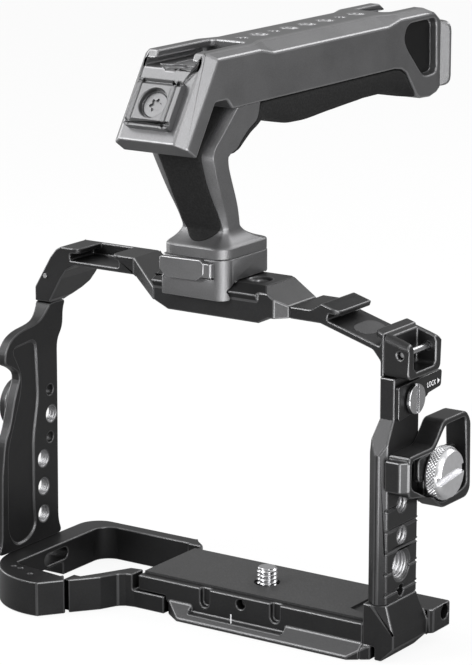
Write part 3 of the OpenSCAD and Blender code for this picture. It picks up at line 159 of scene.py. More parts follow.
def grain_group():
    """Moulded rubber: packed pebbles with a fine tooth over them, and a tone that follows their height, darker
    in the hollows as painted shade.
    """
    group, entry, out = new_group(
        "rubber_grain",
        [("Pebbles per metre", FLOAT, 1500.0)],
        [("Height", FLOAT), ("Shade", FLOAT)],
    )
    place = object_place(group)
    cells = group.nodes.new("ShaderNodeTexVoronoi")
    set_inputs(group, cells, Scale=entry.outputs["Pebbles per metre"], Vector=place)
    fine = noise_node(group, place, 4200.0, 2.0)
    height = math_node(group, "ADD", cells.outputs["Distance"], fine)
    # The shade output is painted shade: lower in the grain is darker.
    set_inputs(group, out, Height=height, Shade=ramp(group, height, 0.5, 1.4))
    return group


def rings_group():
    """Fine rings round an axis, as a lathe leaves them. Axis mask is 0 along the axis and 1 across it."""
    group, entry, out = new_group(
        "lathe_rings",
        [
            ("Centre", VECTOR, (0.0, 0.0, 0.0)),
            ("Across", VECTOR, (1.0, 1.0, 0.0)),
            ("Rings per metre", FLOAT, 6000.0),
        ],
        [("Rings", FLOAT), ("Stain", FLOAT)],
    )
    place = object_place(group)
    shifted = vector_node(group, "SUBTRACT", place, entry.outputs["Centre"])
    flat = vector_node(group, "MULTIPLY", shifted, entry.outputs["Across"])
    radius = vector_node(group, "LENGTH", flat, (0.0, 0.0, 0.0), "Value")
    turns = math_node(group, "MULTIPLY", radius, entry.outputs["Rings per metre"])
    wave = math_node(group, "SINE", math_node(group, "MULTIPLY", turns, 2 * math.pi))
    stain = ramp(group, noise_node(group, place, 600.0, 3.0), 0.35, 0.7)
    set_inputs(group, out, Rings=wave, Stain=stain)
    return group


EDGE_MASK = edge_mask_group()
BLASTED = blasted_group()
GRAIN = grain_group()
RINGS = rings_group()


def place_group(tree, group, **values):
    node = tree.nodes.new("ShaderNodeGroup")
    node.node_tree = group
    return set_inputs(tree, node, **values)


def mix_colour(tree, factor, a, b):
    """Colour a at factor 0 and b at 1."""
    node = tree.nodes.new("ShaderNodeMix")
    node.data_type = "RGBA"
    for index, value in ((0, factor), (6, a), (7, b)):
        feed(tree, node.inputs[index], value)
    return node.outputs[2]


def bump(tree, height, strength, distance, normal=None):
    node = tree.nodes.new("ShaderNodeBump")
    set_inputs(tree, node, Height=height, Strength=strength, Distance=distance)
    if normal is not None:
        tree.links.new(normal, node.inputs["Normal"])
    return node.outputs["Normal"]


def material(name):
    mat = bpy.data.materials.new(name)
    mat.use_nodes = True
    return mat, mat.node_tree, mat.node_tree.nodes["Principled BSDF"]


def grey(value):
    """A grey with a trace of blue in it."""
    return (value, value, value * 1.02)


def scaled(values, factor):
    return tuple(factor * v for v in values)


def anodised(name, colour, highlight_colour, roughness=0.4):
    """Blasted and anodised aluminium with broken edges, painted lighter along them as a painted highlight."""
    mat, tree, shader = material(name)
    blasted = place_group(tree, BLASTED)
    edges = place_group(tree, EDGE_MASK, Width=0.3 * MM)
    mottle = blasted.outputs["Mottle"]
    body = mix_colour(tree, mottle, scaled(colour, 0.92), scaled(colour, 1.08))
    speckle = math_node(tree, "MULTIPLY", blasted.outputs["Speckle"], 0.35)
    body = mix_colour(tree, speckle, body, scaled(colour, 1.35))
    # Painted highlight: the colour turns lighter over the edges.
    edge_highlight = math_node(tree, "MULTIPLY", edges.outputs["Mask"], 0.8)
    set_inputs(
        tree, shader, Metallic=0.9,
        Base_Color=mix_colour(tree, edge_highlight, body, highlight_colour),
        Roughness=multiply_add(tree, mottle, 0.06, roughness - 0.03),
        Normal=bump(tree, blasted.outputs["Pits"], 0.1, 0.06 * MM, edges.outputs["Normal"]),
    )
    return mat


def rubber(name, colour, pebbles=1500.0, depth=0.12 * MM, roughness=0.85, gloss=0.25):
    """Matt rubber with a pebble grain, darker in the grain's hollows as painted shade."""
    mat, tree, shader = material(name)
    grain = place_group(tree, GRAIN, Pebbles_per_metre=pebbles)
    set_inputs(
        tree, shader, Roughness=roughness, Specular_IOR_Level=gloss,
        Base_Color=mix_colour(tree, grain.outputs["Shade"], scaled(colour, 0.5), scaled(colour, 1.6)),
        Normal=bump(tree, grain.outputs["Height"], 0.5, depth),
    )
    return mat


def turned_steel(name, colour, axis, centre, roughness=0.24):
    """Bright metal with fine rings round an axis, as a lathe leaves them."""
    mat, tree, shader = material(name)
    edges = place_group(tree, EDGE_MASK, Width=0.15 * MM)
    across = tuple(0.0 if k == axis else 1.0 for k in range(3))
    rings = place_group(tree, RINGS, Centre=centre, Across=across)
    stain = rings.outputs["Stain"]
    set_inputs(
        tree, shader, Metallic=1.0,
        Base_Color=mix_colour(tree, stain, scaled(colour, 0.93), colour),
        Roughness=multiply_add(tree, stain, 0.04, roughness - 0.02),
        Normal=bump(tree, rings.outputs["Rings"], 0.03, 0.01 * MM, edges.outputs["Normal"]),
    )
    return mat


def brushed_steel(name, colour, roughness=0.36):
    """Plain steel or nickel with a fine even grain, and its edges painted lighter as a painted highlight."""
    mat, tree, shader = material(name)
    edges = place_group(tree, EDGE_MASK, Width=0.15 * MM)
    blasted = place_group(tree, BLASTED)
    shade = mix_colour(tree, blasted.outputs["Mottle"], scaled(colour, 0.9), scaled(colour, 1.1))
    # Painted highlight: the colour is lighter over the edges.
    set_inputs(
        tree, shader, Metallic=1.0,
        Base_Color=mix_colour(tree, edges.outputs["Mask"], shade, scaled(colour, 1.4)),
        Roughness=multiply_add(tree, blasted.outputs["Speckle"], 0.06, roughness),
        Normal=edges.outputs["Normal"],
    )
    return mat


def paint(name, colour):
    """Printed white ink, a little uneven."""
    mat, tree, shader = material(name)
    blot = ramp(tree, noise_node(tree, object_place(tree), 3000.0, 2.0), 0.3, 0.7)
    set_inputs(tree, shader, Roughness=0.6, Base_Color=mix_colour(tree, blot, scaled(colour, 0.85), colour))
    return mat


# Finishes. Each chamfer finish is a lighter copy of the finish before it, a painted highlight on the broken
# edges.

CAGE = anodised("cage_anodised", grey(0.045), grey(0.09))
CAGE_CHAMFER_HIGHLIGHT = anodised("cage_chamfer_highlight", grey(0.13), grey(0.2), 0.34)
HANDLE = anodised("handle_anodised", grey(0.18), grey(0.26), 0.42)
HANDLE_CHAMFER_HIGHLIGHT = anodised("handle_chamfer_highlight", grey(0.26), grey(0.34), 0.36)
PLATE = anodised("plate_anodised", grey(0.15), grey(0.24), 0.38)
PLATE_CHAMFER_HIGHLIGHT = anodised("plate_chamfer_highlight", grey(0.24), grey(0.36), 0.34)
# Black oxide for the small screws and inserts, and the same black as painted shade in the lock slide's recess
# and the ring's seam.
BLACK_AND_SHADE = anodised("black_oxide_and_shade", grey(0.02), grey(0.09), 0.42)
BLACK_CHAMFER_HIGHLIGHT = anodised("black_chamfer_highlight", grey(0.07), grey(0.2), 0.35)
RUBBER = rubber("pad_rubber", grey(0.008))
BASE_RUBBER = rubber("base_rubber", grey(0.03), 2600.0, 0.04 * MM, 0.5, 0.5)
INK = paint("white_ink", grey(0.8))
LEVER = anodised("lever_steel", grey(0.2), grey(0.36), 0.38)
# A lighter copy of the lever finish: a painted highlight on the chamfers of the lever and the lock slide, and
# the colour of the lever's line.
LEVER_HIGHLIGHT_AND_LINE = anodised("lever_steel_highlight_and_line", grey(0.36), grey(0.45), 0.32)
LIGHTER_PATCH = anodised("lighter_oval_patch", grey(0.12), grey(0.12), 0.5)


def centre_of(node):
    """The middle of a node's box, in metres."""
    low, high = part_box(node)
    return tuple((a + b) / 2 for a, b in zip(low, high))


def box_mm(node):
    """A node's lowest and highest corner, in millimetres."""
    return (tuple(v / MM for v in corner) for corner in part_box(node))


def dress(node, *finishes):
    """Give a node of the model its finishes, the second one, a lighter painted highlight, for its broken
    edges.
    """
    mesh = nodes[node].data
    mesh.materials.clear()
    for finish in finishes:
        mesh.materials.append(finish)


def add_object(name, data):
    """A new object, linked to the scene."""
    thing = bpy.data.objects.new(name, data)
    bpy.context.collection.objects.link(thing)
    return thing


def bevel_edges(thing, width, segments, finish=1, angle=EDGE_ANGLE, clamp=False):
    """A bevel in metres on sharp edges, in a finish of its own, with the flat faces kept flat."""
    bevel = thing.modifiers.new("broken_edges", "BEVEL")
    bevel.limit_method = "ANGLE"
    bevel.angle_limit = angle
    bevel.width = width
    bevel.segments = segments
    bevel.use_clamp_overlap = clamp
    bevel.loop_slide = clamp
    bevel.material = finish
    normals = thing.modifiers.new("flat_faces", "WEIGHTED_NORMAL")
    normals.keep_sharp = True
    return bevel, normals


def break_edges(node, width, segments=1):
    """Chamfers on a node's sharp edges, which take its second finish; its own faces stay flat."""
    thing = nodes[node]
    weld = thing.modifiers.new("join_faces", "WELD")
    weld.merge_threshold = WELD_GAP
    merge = thing.modifiers.new("join_triangles", "DECIMATE")
    merge.decimate_type = "DISSOLVE"
    merge.angle_limit = FLAT_ANGLE
    bevel, normals = bevel_edges(thing, width, segments)
    bevel.miter_outer = "MITER_ARC"
    normals.weight = 80


STEEL = {
    "camera_screw": (2, 0.62),
    "lock_screw": (0, 0.6),
    "strap_pin": (1, 0.3),
    "cage_screws": (2, 0.6),
    "qr_lever_pin": (2, 0.4),
    "qr_lever": (1, 0.42),
    "clip_knob": (0, 0.62),
}
HANDLE_NODES = ("handle_grip", "handle_neck", "qr_body", "qr_rear_jaw")
PLATE_NODES = ("front_plate", "end_plate")
BLACK_NODES = ("front_plate_screw", "end_plate_screws", "rear_inserts")
PAD_NODES = ("base_pad", "neck_pad", "finger_pad")
for node_name in nodes:
    if node_name == "shoe_springs":
        dress(node_name, brushed_steel("spring_steel", grey(0.3)))
    elif node_name in STEEL:
        turn_axis, shade = STEEL[node_name]
        dress(node_name, turned_steel(node_name + "_steel", grey(shade), turn_axis, centre_of(node_name)))
    elif node_name in PAD_NODES:
        dress(node_name, BASE_RUBBER if node_name == "base_pad" else RUBBER)
    elif node_name in HANDLE_NODES:
        dress(node_name, HANDLE, HANDLE_CHAMFER_HIGHLIGHT)
        break_edges(node_name, 0.6 * MM, 2)
    elif node_name in PLATE_NODES:
        dress(node_name, PLATE, PLATE_CHAMFER_HIGHLIGHT)
        break_edges(node_name, 0.3 * MM)
    elif node_name in BLACK_NODES:
        dress(node_name, BLACK_AND_SHADE, BLACK_CHAMFER_HIGHLIGHT)
    else:
        dress(node_name, CAGE, CAGE_CHAMFER_HIGHLIGHT)
        break_edges(node_name, 0.45 * MM, 2)


# Mesh helpers, all in millimetres in a local frame


def on_circle(radius, k, count, height):
    """The k-th of so many even points on a circle about local Z."""
    turn = 2 * math.pi * k / count
    return (radius * math.cos(turn), radius * math.sin(turn), height)


def lathe(profile, segments=64):
    """A solid turned about local Z from (radius, height) points; a radius of zero closes it."""
    points, faces, rings = [], [], []
    for radius, height in profile:
        start = len(points)
        count = segments if radius > 0 else 1
        points += [on_circle(radius, k, segments, height) for k in range(count)]
        rings.append((start, count))
    for (a, count_a), (b, count_b) in zip(rings, rings[1:]):
        for k in range(segments):
            nxt = (k + 1) % segments
            face = []
            for v in (a + k % count_a, a + nxt % count_a, b + nxt % count_b, b + k % count_b):
                if v not in face:
                    face.append(v)
            if len(face) > 2:
                faces.append(face)
    return points, faces


def stacked(rings, count):
    """The faces of a closed stack of rings of points: its walls and its two ends."""
    faces = []
    for ring in range(rings - 1):
        a, b = ring * count, (ring + 1) * count
        for i in range(count):
            k = (i + 1) % count
            faces.append((a + i, a + k, b + k, b + i))
    last = (rings - 1) * count
    return faces + [tuple(range(count))[::-1], tuple(range(last, last + count))]


def prism(outline, low, high):
    """A flat outline made thick between two heights."""
    return [(x, y, z) for z in (low, high) for x, y in outline], stacked(2, len(outline))


def rounded(corners, radii, steps=6):
    """A closed outline with each corner rounded by its own radius."""
    outline = []
    count = len(corners)
    for k, radius in enumerate(radii):
        here = Vector(corners[k])
        to_last = (Vector(corners[k - 1]) - here).normalized()
        to_next = (Vector(corners[(k + 1) % count]) - here).normalized()
        half = to_last.angle(to_next) / 2
        if radius <= 0:
            outline.append(tuple(here))
            continue
        reach = radius / math.tan(half)
        middle = here + (to_last + to_next).normalized() * (radius / math.sin(half))
        first = here + to_last * reach - middle
        last = here + to_next * reach - middle
        for step in range(steps + 1):
            way = first.slerp(last, step / steps) if first.length > 0 else first
            outline.append(tuple(middle + way))
    return outline


def rectangle(half_w, half_h):
    """The corners of a rectangle about the origin."""
    return [(-half_w, -half_h), (half_w, -half_h), (half_w, half_h), (-half_w, half_h)]


def window(left, right, low, high):
    """The corners of a rectangle between its sides."""
    return [(left, low), (right, low), (right, high), (left, high)]


def block(size, centre=(0.0, 0.0, 0.0)):
    """A box of three lengths about a centre."""
    x, y, z = (s / 2 for s in size)
    points, faces = prism(rectangle(x, y), -z, z)
    return [tuple(a + b for a, b in zip(p, centre)) for p in points], faces


def thread(root, crest, low, high, pitch, wall=0.0, steps=40, rows=8):
    """A helical thread about local Z: a rod, or with a wall radius a sleeve threaded inside."""
    rise = [0.0, 0.3, 0.75, 1.0, 1.0, 0.75, 0.3, 0.0]
    sign = -1 if wall > 0 else 1
    lines = int((high - low) / pitch * rows) + 2 * rows
    points, faces = [], []
    for j in range(-rows, lines + 1):
        for i in range(steps):
            z = min(max(low + pitch * (j / rows + i / steps), low), high)
            lead = min(z - low, high - z)
            ridge = min(abs(crest - root) * rise[j % rows], lead)
            points.append(on_circle(root + sign * ridge, i, steps, z))
    total = lines + 1 + rows
    for j in range(total - 1):
        for i in range(steps):
            if i < steps - 1:
                right, right_up = j * steps + i + 1, (j + 1) * steps + i + 1
            else:
                right = min(j + rows, total - 1) * steps
                right_up = min(j + 1 + rows, total - 1) * steps
            faces.append((j * steps + i, right, right_up, (j + 1) * steps + i))
    last = (total - 1) * steps
    if wall > 0:
        start = len(points)
        points += [on_circle(wall, i, steps, z) for z in (low, high) for i in range(steps)]
        for i in range(steps):
            k = (i + 1) % steps
            faces.append((i, k, start + k, start + i))
            faces.append((start + i, start + k, start + steps + k, start + steps + i))
            faces.append((last + i, last + k, start + steps + k, start + steps + i))
    else:
        faces.append(tuple(range(steps))[::-1])
        faces.append(tuple(last + i for i in range(steps)))
    return points, faces


def knurled(radius, depth, low, high, count, rows):
    """A band of crossed knurling about local Z, as low pyramids, with flat ends."""
    points, faces = [], []
    for j in range(rows + 1):
        for i in range(count):
            out = radius - (depth if (i + j) % 2 else 0.0)
            if j in (0, rows):
                out = radius - depth
            points.append(on_circle(out, i, count, low + (high - low) * j / rows))
    for j in range(rows):
        for i in range(count):
            k = (i + 1) % count
            a, b, c, d = j * count + i, j * count + k, (j + 1) * count + k, (j + 1) * count + i
            if (i + j) % 2:
                faces += [(a, b, c), (a, c, d)]
            else:
                faces += [(a, b, d), (b, c, d)]
    faces.append(tuple(range(count))[::-1])
    faces.append(tuple(rows * count + i for i in range(count)))
    return points, faces


def along(axis, place):
    """The frame at a place in millimetres whose local Z runs along a world axis."""
    quat = Vector(axis).to_track_quat("Z", "Y")
    return Matrix.Translation(place) @ quat.to_matrix().to_4x4()


HERE = Matrix.Identity(4)
# Outlines drawn in (x, z), as seen from the front, and in (y, z), as seen from the right
FROM_FRONT = Matrix(((1, 0, 0, 0), (0, 0, 1, 0), (0, 1, 0, 0), (0, 0, 0, 1)))
FROM_RIGHT = Matrix(((0, 0, 1, 0), (1, 0, 0, 0), (0, 1, 0, 0), (0, 0, 0, 1)))


def apply_modifiers(thing):
    """Make a piece's modifiers part of its mesh."""
    seen = thing.evaluated_get(bpy.context.evaluated_depsgraph_get())
    mesh = bpy.data.meshes.new_from_object(seen)
    thing.modifiers.clear()
    old, thing.data = thing.data, mesh
    mesh.name = thing.name
    bpy.data.meshes.remove(old)


def piece(name, parts, place, body, *finishes):
    """One piece from lists of points and faces in millimetres, placed by a matrix, riding on a body."""
    shape = bmesh.new()
    for points, faces in parts:
        made = [shape.verts.new(p) for p in points]
        for face in faces:
            if len({made[v].co.to_tuple(6) for v in face}) > 2:
                shape.faces.new([made[v] for v in face])
    bmesh.ops.remove_doubles(shape, verts=shape.verts[:], dist=1e-4)
    bmesh.ops.dissolve_degenerate(shape, dist=1e-5, edges=shape.edges[:])
    bmesh.ops.recalc_face_normals(shape, faces=shape.faces[:])
    shape.transform(Matrix.Scale(MM, 4) @ place)
    mesh = bpy.data.meshes.new(name)
    shape.to_mesh(mesh)
    shape.free()
    thing = add_object(name, mesh)
    for finish in finishes:
        mesh.materials.append(finish)
    if body is not None:
        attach(thing, body)
    return thing


def cut(thing, parts, place):
    """Take a tool's shape, made in the same way, out of a piece."""
    tool = piece("cutter", parts, place, None)
    knife = thing.modifiers.new("cut", "BOOLEAN")
    knife.operation = "DIFFERENCE"
    knife.solver = "EXACT"
    knife.object = tool
    apply_modifiers(thing)
    bpy.data.objects.remove(tool)


def smooth(thing, angle=32.0):
    """Smooth shading, kept sharp over edges steeper than an angle in degrees."""
    thing.data.shade_smooth()
    thing.data.set_sharp_from_angle(angle=math.radians(angle))


def soften(thing, width, segments=2, angle=30.0, finish=1):
    """Rounded edges on a made piece, in millimetres."""
    bevel_edges(thing, width * MM, segments, finish, math.radians(angle), True)
    smooth(thing)


# Screws and the knob

QUARTER_CREST = 3.175
QUARTER_ROOT = 2.62
QUARTER_PITCH = 1.27


def camera_screw():
    """The 1/4 inch camera screw, with a slotted head below and four turns standing above the pad."""
    head_r, head_h, top, chamfer, lip = 7.75, 2.6, 16.5, 0.5, 0.3
    slot_wide, slot_deep = 1.6, 1.2
    finish = turned_steel("camera_screw_steel", grey(0.62), 2, (0.0, 0.0, 0.0), 0.22)
    head = lathe([(0, 0), (head_r - chamfer, 0), (head_r, chamfer), (head_r, head_h - lip),
                  (head_r - lip, head_h), (0, head_h)])
    rod = thread(QUARTER_ROOT, QUARTER_CREST, head_h - 0.2, top, QUARTER_PITCH)
    thing = piece("camera_screw_threaded", [head], HERE, "camera_screw", finish)
    cut(thing, [block((2 * head_r + 1, slot_wide, 2 * slot_deep))], HERE)
    screw = piece("camera_screw_thread", [rod], HERE, "camera_screw", finish)
    smooth(thing)
    smooth(screw, 40)
    for part in (thing, screw):
        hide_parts("camera_screw")


SLOT_TURN = math.radians(7.0)


def clip_knob():
    """The cable clamp's knurled knob, with a coin slot across its face."""
    rear, front, band, end = 55.0, 60.2, 3.5, 49.9
    radius, knurl_depth, face_r, shank_r = 8.2, 0.32, 7.8, 2.0
    slot_wide, slot_deep = 2.6, 1.2
    middle = (8.12, 53.98)
    place = along((1, 0, 0), (0.0, *middle))
    finish = turned_steel("knob_steel", grey(0.85), 0, scaled((front, *middle), MM), 0.34)
    grip = knurled(radius, knurl_depth, rear + 0.25, rear + band, 92, 6)
    ring = lathe([(0, rear), (7.2, rear), (7.75, rear + 0.35), (0, rear + 0.35)])
    face = lathe([(0, rear + band - 0.2), (face_r, rear + band - 0.2), (face_r, rear + band),
                  (7.0, front - 0.2), (6.7, front), (0, front)], 96)
    shank = lathe([(0, end), (1.7, end), (shank_r, end + 0.3), (shank_r, rear + 0.2), (0, rear + 0.2)], 40)
    thing = piece("clip_knob_knurled", [face], place, "clip_knob", finish)
    slot = block((2 * radius + 2, slot_wide, 2 * slot_deep), (0, 0, front))
    cut(thing, [slot], place @ Matrix.Rotation(SLOT_TURN, 4, "Z"))
    smooth(thing)
    band_piece = piece("clip_knob_knurl", [grip, ring], place, "clip_knob", finish)
    shank_piece = piece("clip_knob_shank", [shank], place, "clip_knob", finish)
    smooth(shank_piece)
    for part in (thing, band_piece, shank_piece):
        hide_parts("clip_knob")


LOCK_SCREW_AT = (-1.5, 78.09)


def lock_screw():
    """The slotted screw that clamps the lock slide."""
    radius, edge, low, high = 4.6, 0.45, 52.2, 53.6
    place = along((1, 0, 0), (0.0, *LOCK_SCREW_AT))
    centre = scaled((high, *LOCK_SCREW_AT), MM)
    finish = turned_steel("lock_screw_steel", grey(0.5), 0, centre, 0.26)
    turns = (0, 0.4, 0.8, 1.2, 1.57)
    rim = [(radius - edge * (1 - math.cos(t)), high - edge + edge * math.sin(t)) for t in turns]
    head = lathe([(0, low), (radius - 0.3, low), (radius, low + 0.3)] + rim + [(0, high)], 72)
    thing = piece("lock_screw_slotted", [head], place, "lock_screw", finish)
    cut(thing, [block((1.3, 12.0, 1.6), (0, 0, high))], place)
    smooth(thing)
    shank = piece("lock_screw_shank", [thread(2.05, 2.4, 46.1, low + 0.1, 0.8)], place, "lock_screw", finish)
    smooth(shank, 40)
    for part in (thing, shank):
        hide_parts("lock_screw")


# The handle's front plate and its screw

HANDLE_X = -16.0
AT_HANDLE = Matrix.Translation((HANDLE_X, 0.0, 0.0))
LEAN = math.radians(33.0)
SLAB_MIDDLE = (HANDLE_X, -33.085, 163.902)
PLATE_SHIFT = (-0.25, -1.6, 0.0)
FRONT = (Matrix.Translation(SLAB_MIDDLE) @ Matrix.Rotation(math.pi / 2 - LEAN, 4, "X")
         @ Matrix.Translation(PLATE_SHIFT))


def front_plate():
    """The square plate on the handle's front: wide chamfers, four crossing grooves, and a sunk screw seat."""
    half_w, half_h, thick, shoulder, inset, corner = 10.65, 10.45, 2.55, 1.2, 2.4, 3.8
    outer = rounded(rectangle(half_w, half_h), [corner] * 4)
    inner = rounded(rectangle(half_w - inset, half_h - inset), [corner - inset] * 4)
    points = [(x, y, z) for loop, z in ((outer, 0.0), (outer, shoulder), (inner, thick)) for x, y in loop]
    faces = stacked(3, len(outer))
    thing = piece("front_plate_grooved", [(points, faces)], FRONT, "handle", PLATE, PLATE_CHAMFER_HIGHLIGHT)

    depth, wide, over = 0.75, 1.9, 0.02
    grooves = [((x, 0.0), 17.6, 0.0) for x in (5.5, -6.6)]
    grooves += [((0.0, y), 17.2, math.pi / 2) for y in (6.6, -6.2)]
    lying = Matrix.Rotation(-math.pi / 2, 4, "X") @ Matrix.Rotation(math.pi, 4, "Z")
    for (x, y), length, turn in grooves:
        groove = prism([(-wide / 2, over), (wide / 2, over), (0.0, -depth)], -length / 2, length / 2)
        middle = Matrix.Translation((x, y, thick + over / 2))
        cut(thing, [groove], FRONT @ middle @ Matrix.Rotation(turn, 4, "Z") @ lying)

    floor, bore, seat_r, mouth_r, lip = thick - 1.95, 2.6, 4.6, 5.15, 0.25
    seat = lathe([(0, -1), (bore, -1), (bore, floor), (seat_r, floor), (seat_r, thick - lip),
                  (mouth_r, thick + 0.3), (0, thick + 0.3)])
    cut(thing, [seat], FRONT)
    soften(thing, 0.22)
    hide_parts("front_plate")


def front_plate_screw():
    """The plate's pan-head screw, with a six-lobed socket."""
    seat, face, radius, edge = 0.1, 0.85, 4.15, 0.3
    socket_r, lobe, socket_deep, steps = 1.75, 0.4, 0.6, 72
    finish = brushed_steel("plate_screw_steel", grey(0.2), 0.42)
    head = lathe([(0, seat), (radius, seat), (radius, face - edge), (radius - edge, face), (0, face)], 64)
    thing = piece("front_plate_screw_head", [head], FRONT, "handle", finish)
    lobes = []
    for k in range(steps):
        turn = 2 * math.pi * k / steps
        reach = socket_r + lobe * math.cos(6 * turn)
        lobes.append((reach * math.cos(turn), reach * math.sin(turn)))
    socket = prism(lobes, face - socket_deep, face + 0.5)
    cut(thing, [socket], FRONT @ Matrix.Rotation(math.radians(12.0), 4, "Z"))
    soften(thing, 0.1, 1, 35.0, 0)
    rod = thread(2.05, 2.45, -6.1, seat + 0.1, 0.8)
    shank = piece("front_plate_screw_shank", [rod], FRONT, "handle", finish)
    smooth(shank, 40)
    for part in (thing, shank):
        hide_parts("front_plate_screw")


# The handle's leaning neck, on its flared foot

FOOT_LOW = 114.72
FOOT_RIM = 118.1
NECK_LOW = 123.0
NECK_TOP = 160.3
NECK_LEAD_Y = -20.02
NECK_DEPTH = 13.0
NECK_SPAN = NECK_TOP - NECK_LOW
NECK_FRONT_SHARES = ((0.83, -0.02), (0.63, 0.125), (0.32, 0.31), (-0.05, 0.57), (-0.12, 0.64), (-0.07, 0.7),
                     (0.11, 0.77), (0.38, 0.87), (0.7, 1.0))
NECK_REAR_SHARES = ((1.34, -0.02), (1.13, 0.18), (0.66, 0.49), (0.58, 0.565), (0.59, 0.62), (0.85, 0.655),
                    (1.05, 0.725), (1.3, 0.8), (1.59, 0.86), (1.66, 1.0))
NECK_STEP = 1.4
NECK_HALF_LOW = 8.4
NECK_HALF_GAIN = 4.6
NECK_WIDENS_OVER = 40.3
NECK_REAR_CORNER = 1.2
FOOT_FRONT_CORNER = 5.2
FOOT_REAR_CORNER = 3.5
FOOT_EDGE_SCALE = 0.985
FLARE_TOP = 123.6
FLARE_CURVE = 1.9
PAD_HALF_LOW = 7.0
PAD_HALF_GAIN = 3.0
PAD_WIDENS_FROM = 138.0
PAD_WIDENS_OVER = 24.0


def through(rows, share):
    """The reach at a height share, on a smooth curve through (reach, height) rows."""
    last = len(rows) - 1
    k = max(0, min(last - 1, sum(1 for row in rows if row[1] <= share) - 1))
    (y0, z0), (y1, z1) = rows[k], rows[k + 1]

    def slope(a, b):
        return (rows[b][0] - rows[a][0]) / (rows[b][1] - rows[a][1])

    span = z1 - z0
    t = min(max((share - z0) / span, 0.0), 1.0)
    start = slope(max(k - 1, 0), k + 1) * span
    end = slope(k, min(k + 2, last)) * span
    step = 3 * t ** 2 - 2 * t ** 3
    return (1 - step) * y0 + step * y1 + (t ** 3 - 2 * t ** 2 + t) * start + (t ** 3 - t ** 2) * end


def neck_edge(rows, height):
    """Where the neck's front or rear edge is at a height."""
    return NECK_LEAD_Y + NECK_DEPTH * through(rows, (height - NECK_LOW) / NECK_SPAN)


def flare_share(height):
    """How far the neck has spread towards its foot at a height, from 0 to 1."""
    return max(0.0, min(1.0, (FLARE_TOP - height) / (FLARE_TOP - FOOT_RIM))) ** FLARE_CURVE


def neck_half(height):
    """Half the neck's width."""
    return NECK_HALF_LOW + NECK_HALF_GAIN * (height - NECK_LOW) / NECK_WIDENS_OVER


def pad_half(height):
    """Half the width of the neck's rubber pad."""
    return PAD_HALF_LOW + PAD_HALF_GAIN * max(0.0, (height - PAD_WIDENS_FROM) / PAD_WIDENS_OVER) ** 1.3


def neck_section(height, low, high):
    """The neck's outline at a height: bevelled in front, and flared towards the foot's rounded rectangle."""
    flare = flare_share(height)
    side = neck_half(height)
    front, rear = neck_edge(NECK_FRONT_SHARES, height), neck_edge(NECK_REAR_SHARES, height)
    inner = pad_half(height) + 0.1
    wide = side - inner
    bevel = [(side, front + 1.4), (side, front + 0.4), (side - 0.12, front + 0.05),
             (side - 0.3 * wide, front - 0.3 * NECK_STEP), (side - 0.65 * wide, front - 0.7 * NECK_STEP),
             (inner + 0.1, front - NECK_STEP + 0.03), (inner - 0.5, front - NECK_STEP)]
    foot_half = (high[0] - low[0]) / 2
    front_arc, rear_arc, rear_foot = [], [], []
    for k in range(len(bevel)):
        turn = math.pi / 2 * k / (len(bevel) - 1)
        fall, rise = 1 - math.cos(turn), 1 - math.sin(turn)
        front_arc.append((foot_half - FOOT_FRONT_CORNER * fall, low[1] + FOOT_FRONT_CORNER * rise))
        rear_arc.append((side - NECK_REAR_CORNER * rise, rear - NECK_REAR_CORNER * fall))
        rear_foot.append((foot_half - FOOT_REAR_CORNER * rise, high[1] - FOOT_REAR_CORNER * fall))
    right = []
    for at_neck, at_foot in list(zip(rear_arc, rear_foot)) + list(zip(bevel, front_arc)):
        right.append(tuple(a + (b - a) * flare for a, b in zip(at_neck, at_foot)))
    return [(x, y, height) for x, y in right] + [(-x, y, height) for x, y in reversed(right)]


def handle_neck():
    """The leaning neck, lofted through level sections from the foot's rim to the slab."""
    low, high = box_mm("qr_body")
    middle = (low[1] + high[1]) / 2
    heights = [FOOT_LOW, FOOT_LOW + 0.3, FOOT_RIM - 0.6, FOOT_RIM - 0.3, FOOT_RIM]
    heights += [FOOT_RIM + (FLARE_TOP - FOOT_RIM) * k / 16 for k in range(1, 17)]
    heights += [FLARE_TOP + (NECK_TOP - FLARE_TOP) * k / 40 for k in range(1, 41)]
    points = []
    for height in heights:
        section = neck_section(height, low, high)
        if height in (FOOT_LOW, FOOT_RIM):
            scale = FOOT_EDGE_SCALE
            section = [(scale * x, middle + scale * (y - middle), z) for x, y, z in section]
        points += section
    faces = stacked(len(heights), len(points) // len(heights))
    thing = piece("handle_neck_flared", [(points, faces)], AT_HANDLE, "handle", HANDLE, HANDLE_CHAMFER_HIGHLIGHT)
    smooth(thing, 24.0)
    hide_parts("handle_neck")


# Rubber pads

PAD_END = 119.3
PAD_ROUND = 6.9
PAD_THICK = 0.75
PAD_TOP = 162.6


def neck_front(height, low):
    """Where the neck's middle front line is, flare included."""
    front = neck_edge(NECK_FRONT_SHARES, height) - NECK_STEP
    return front + (low[1] - front) * flare_share(height)


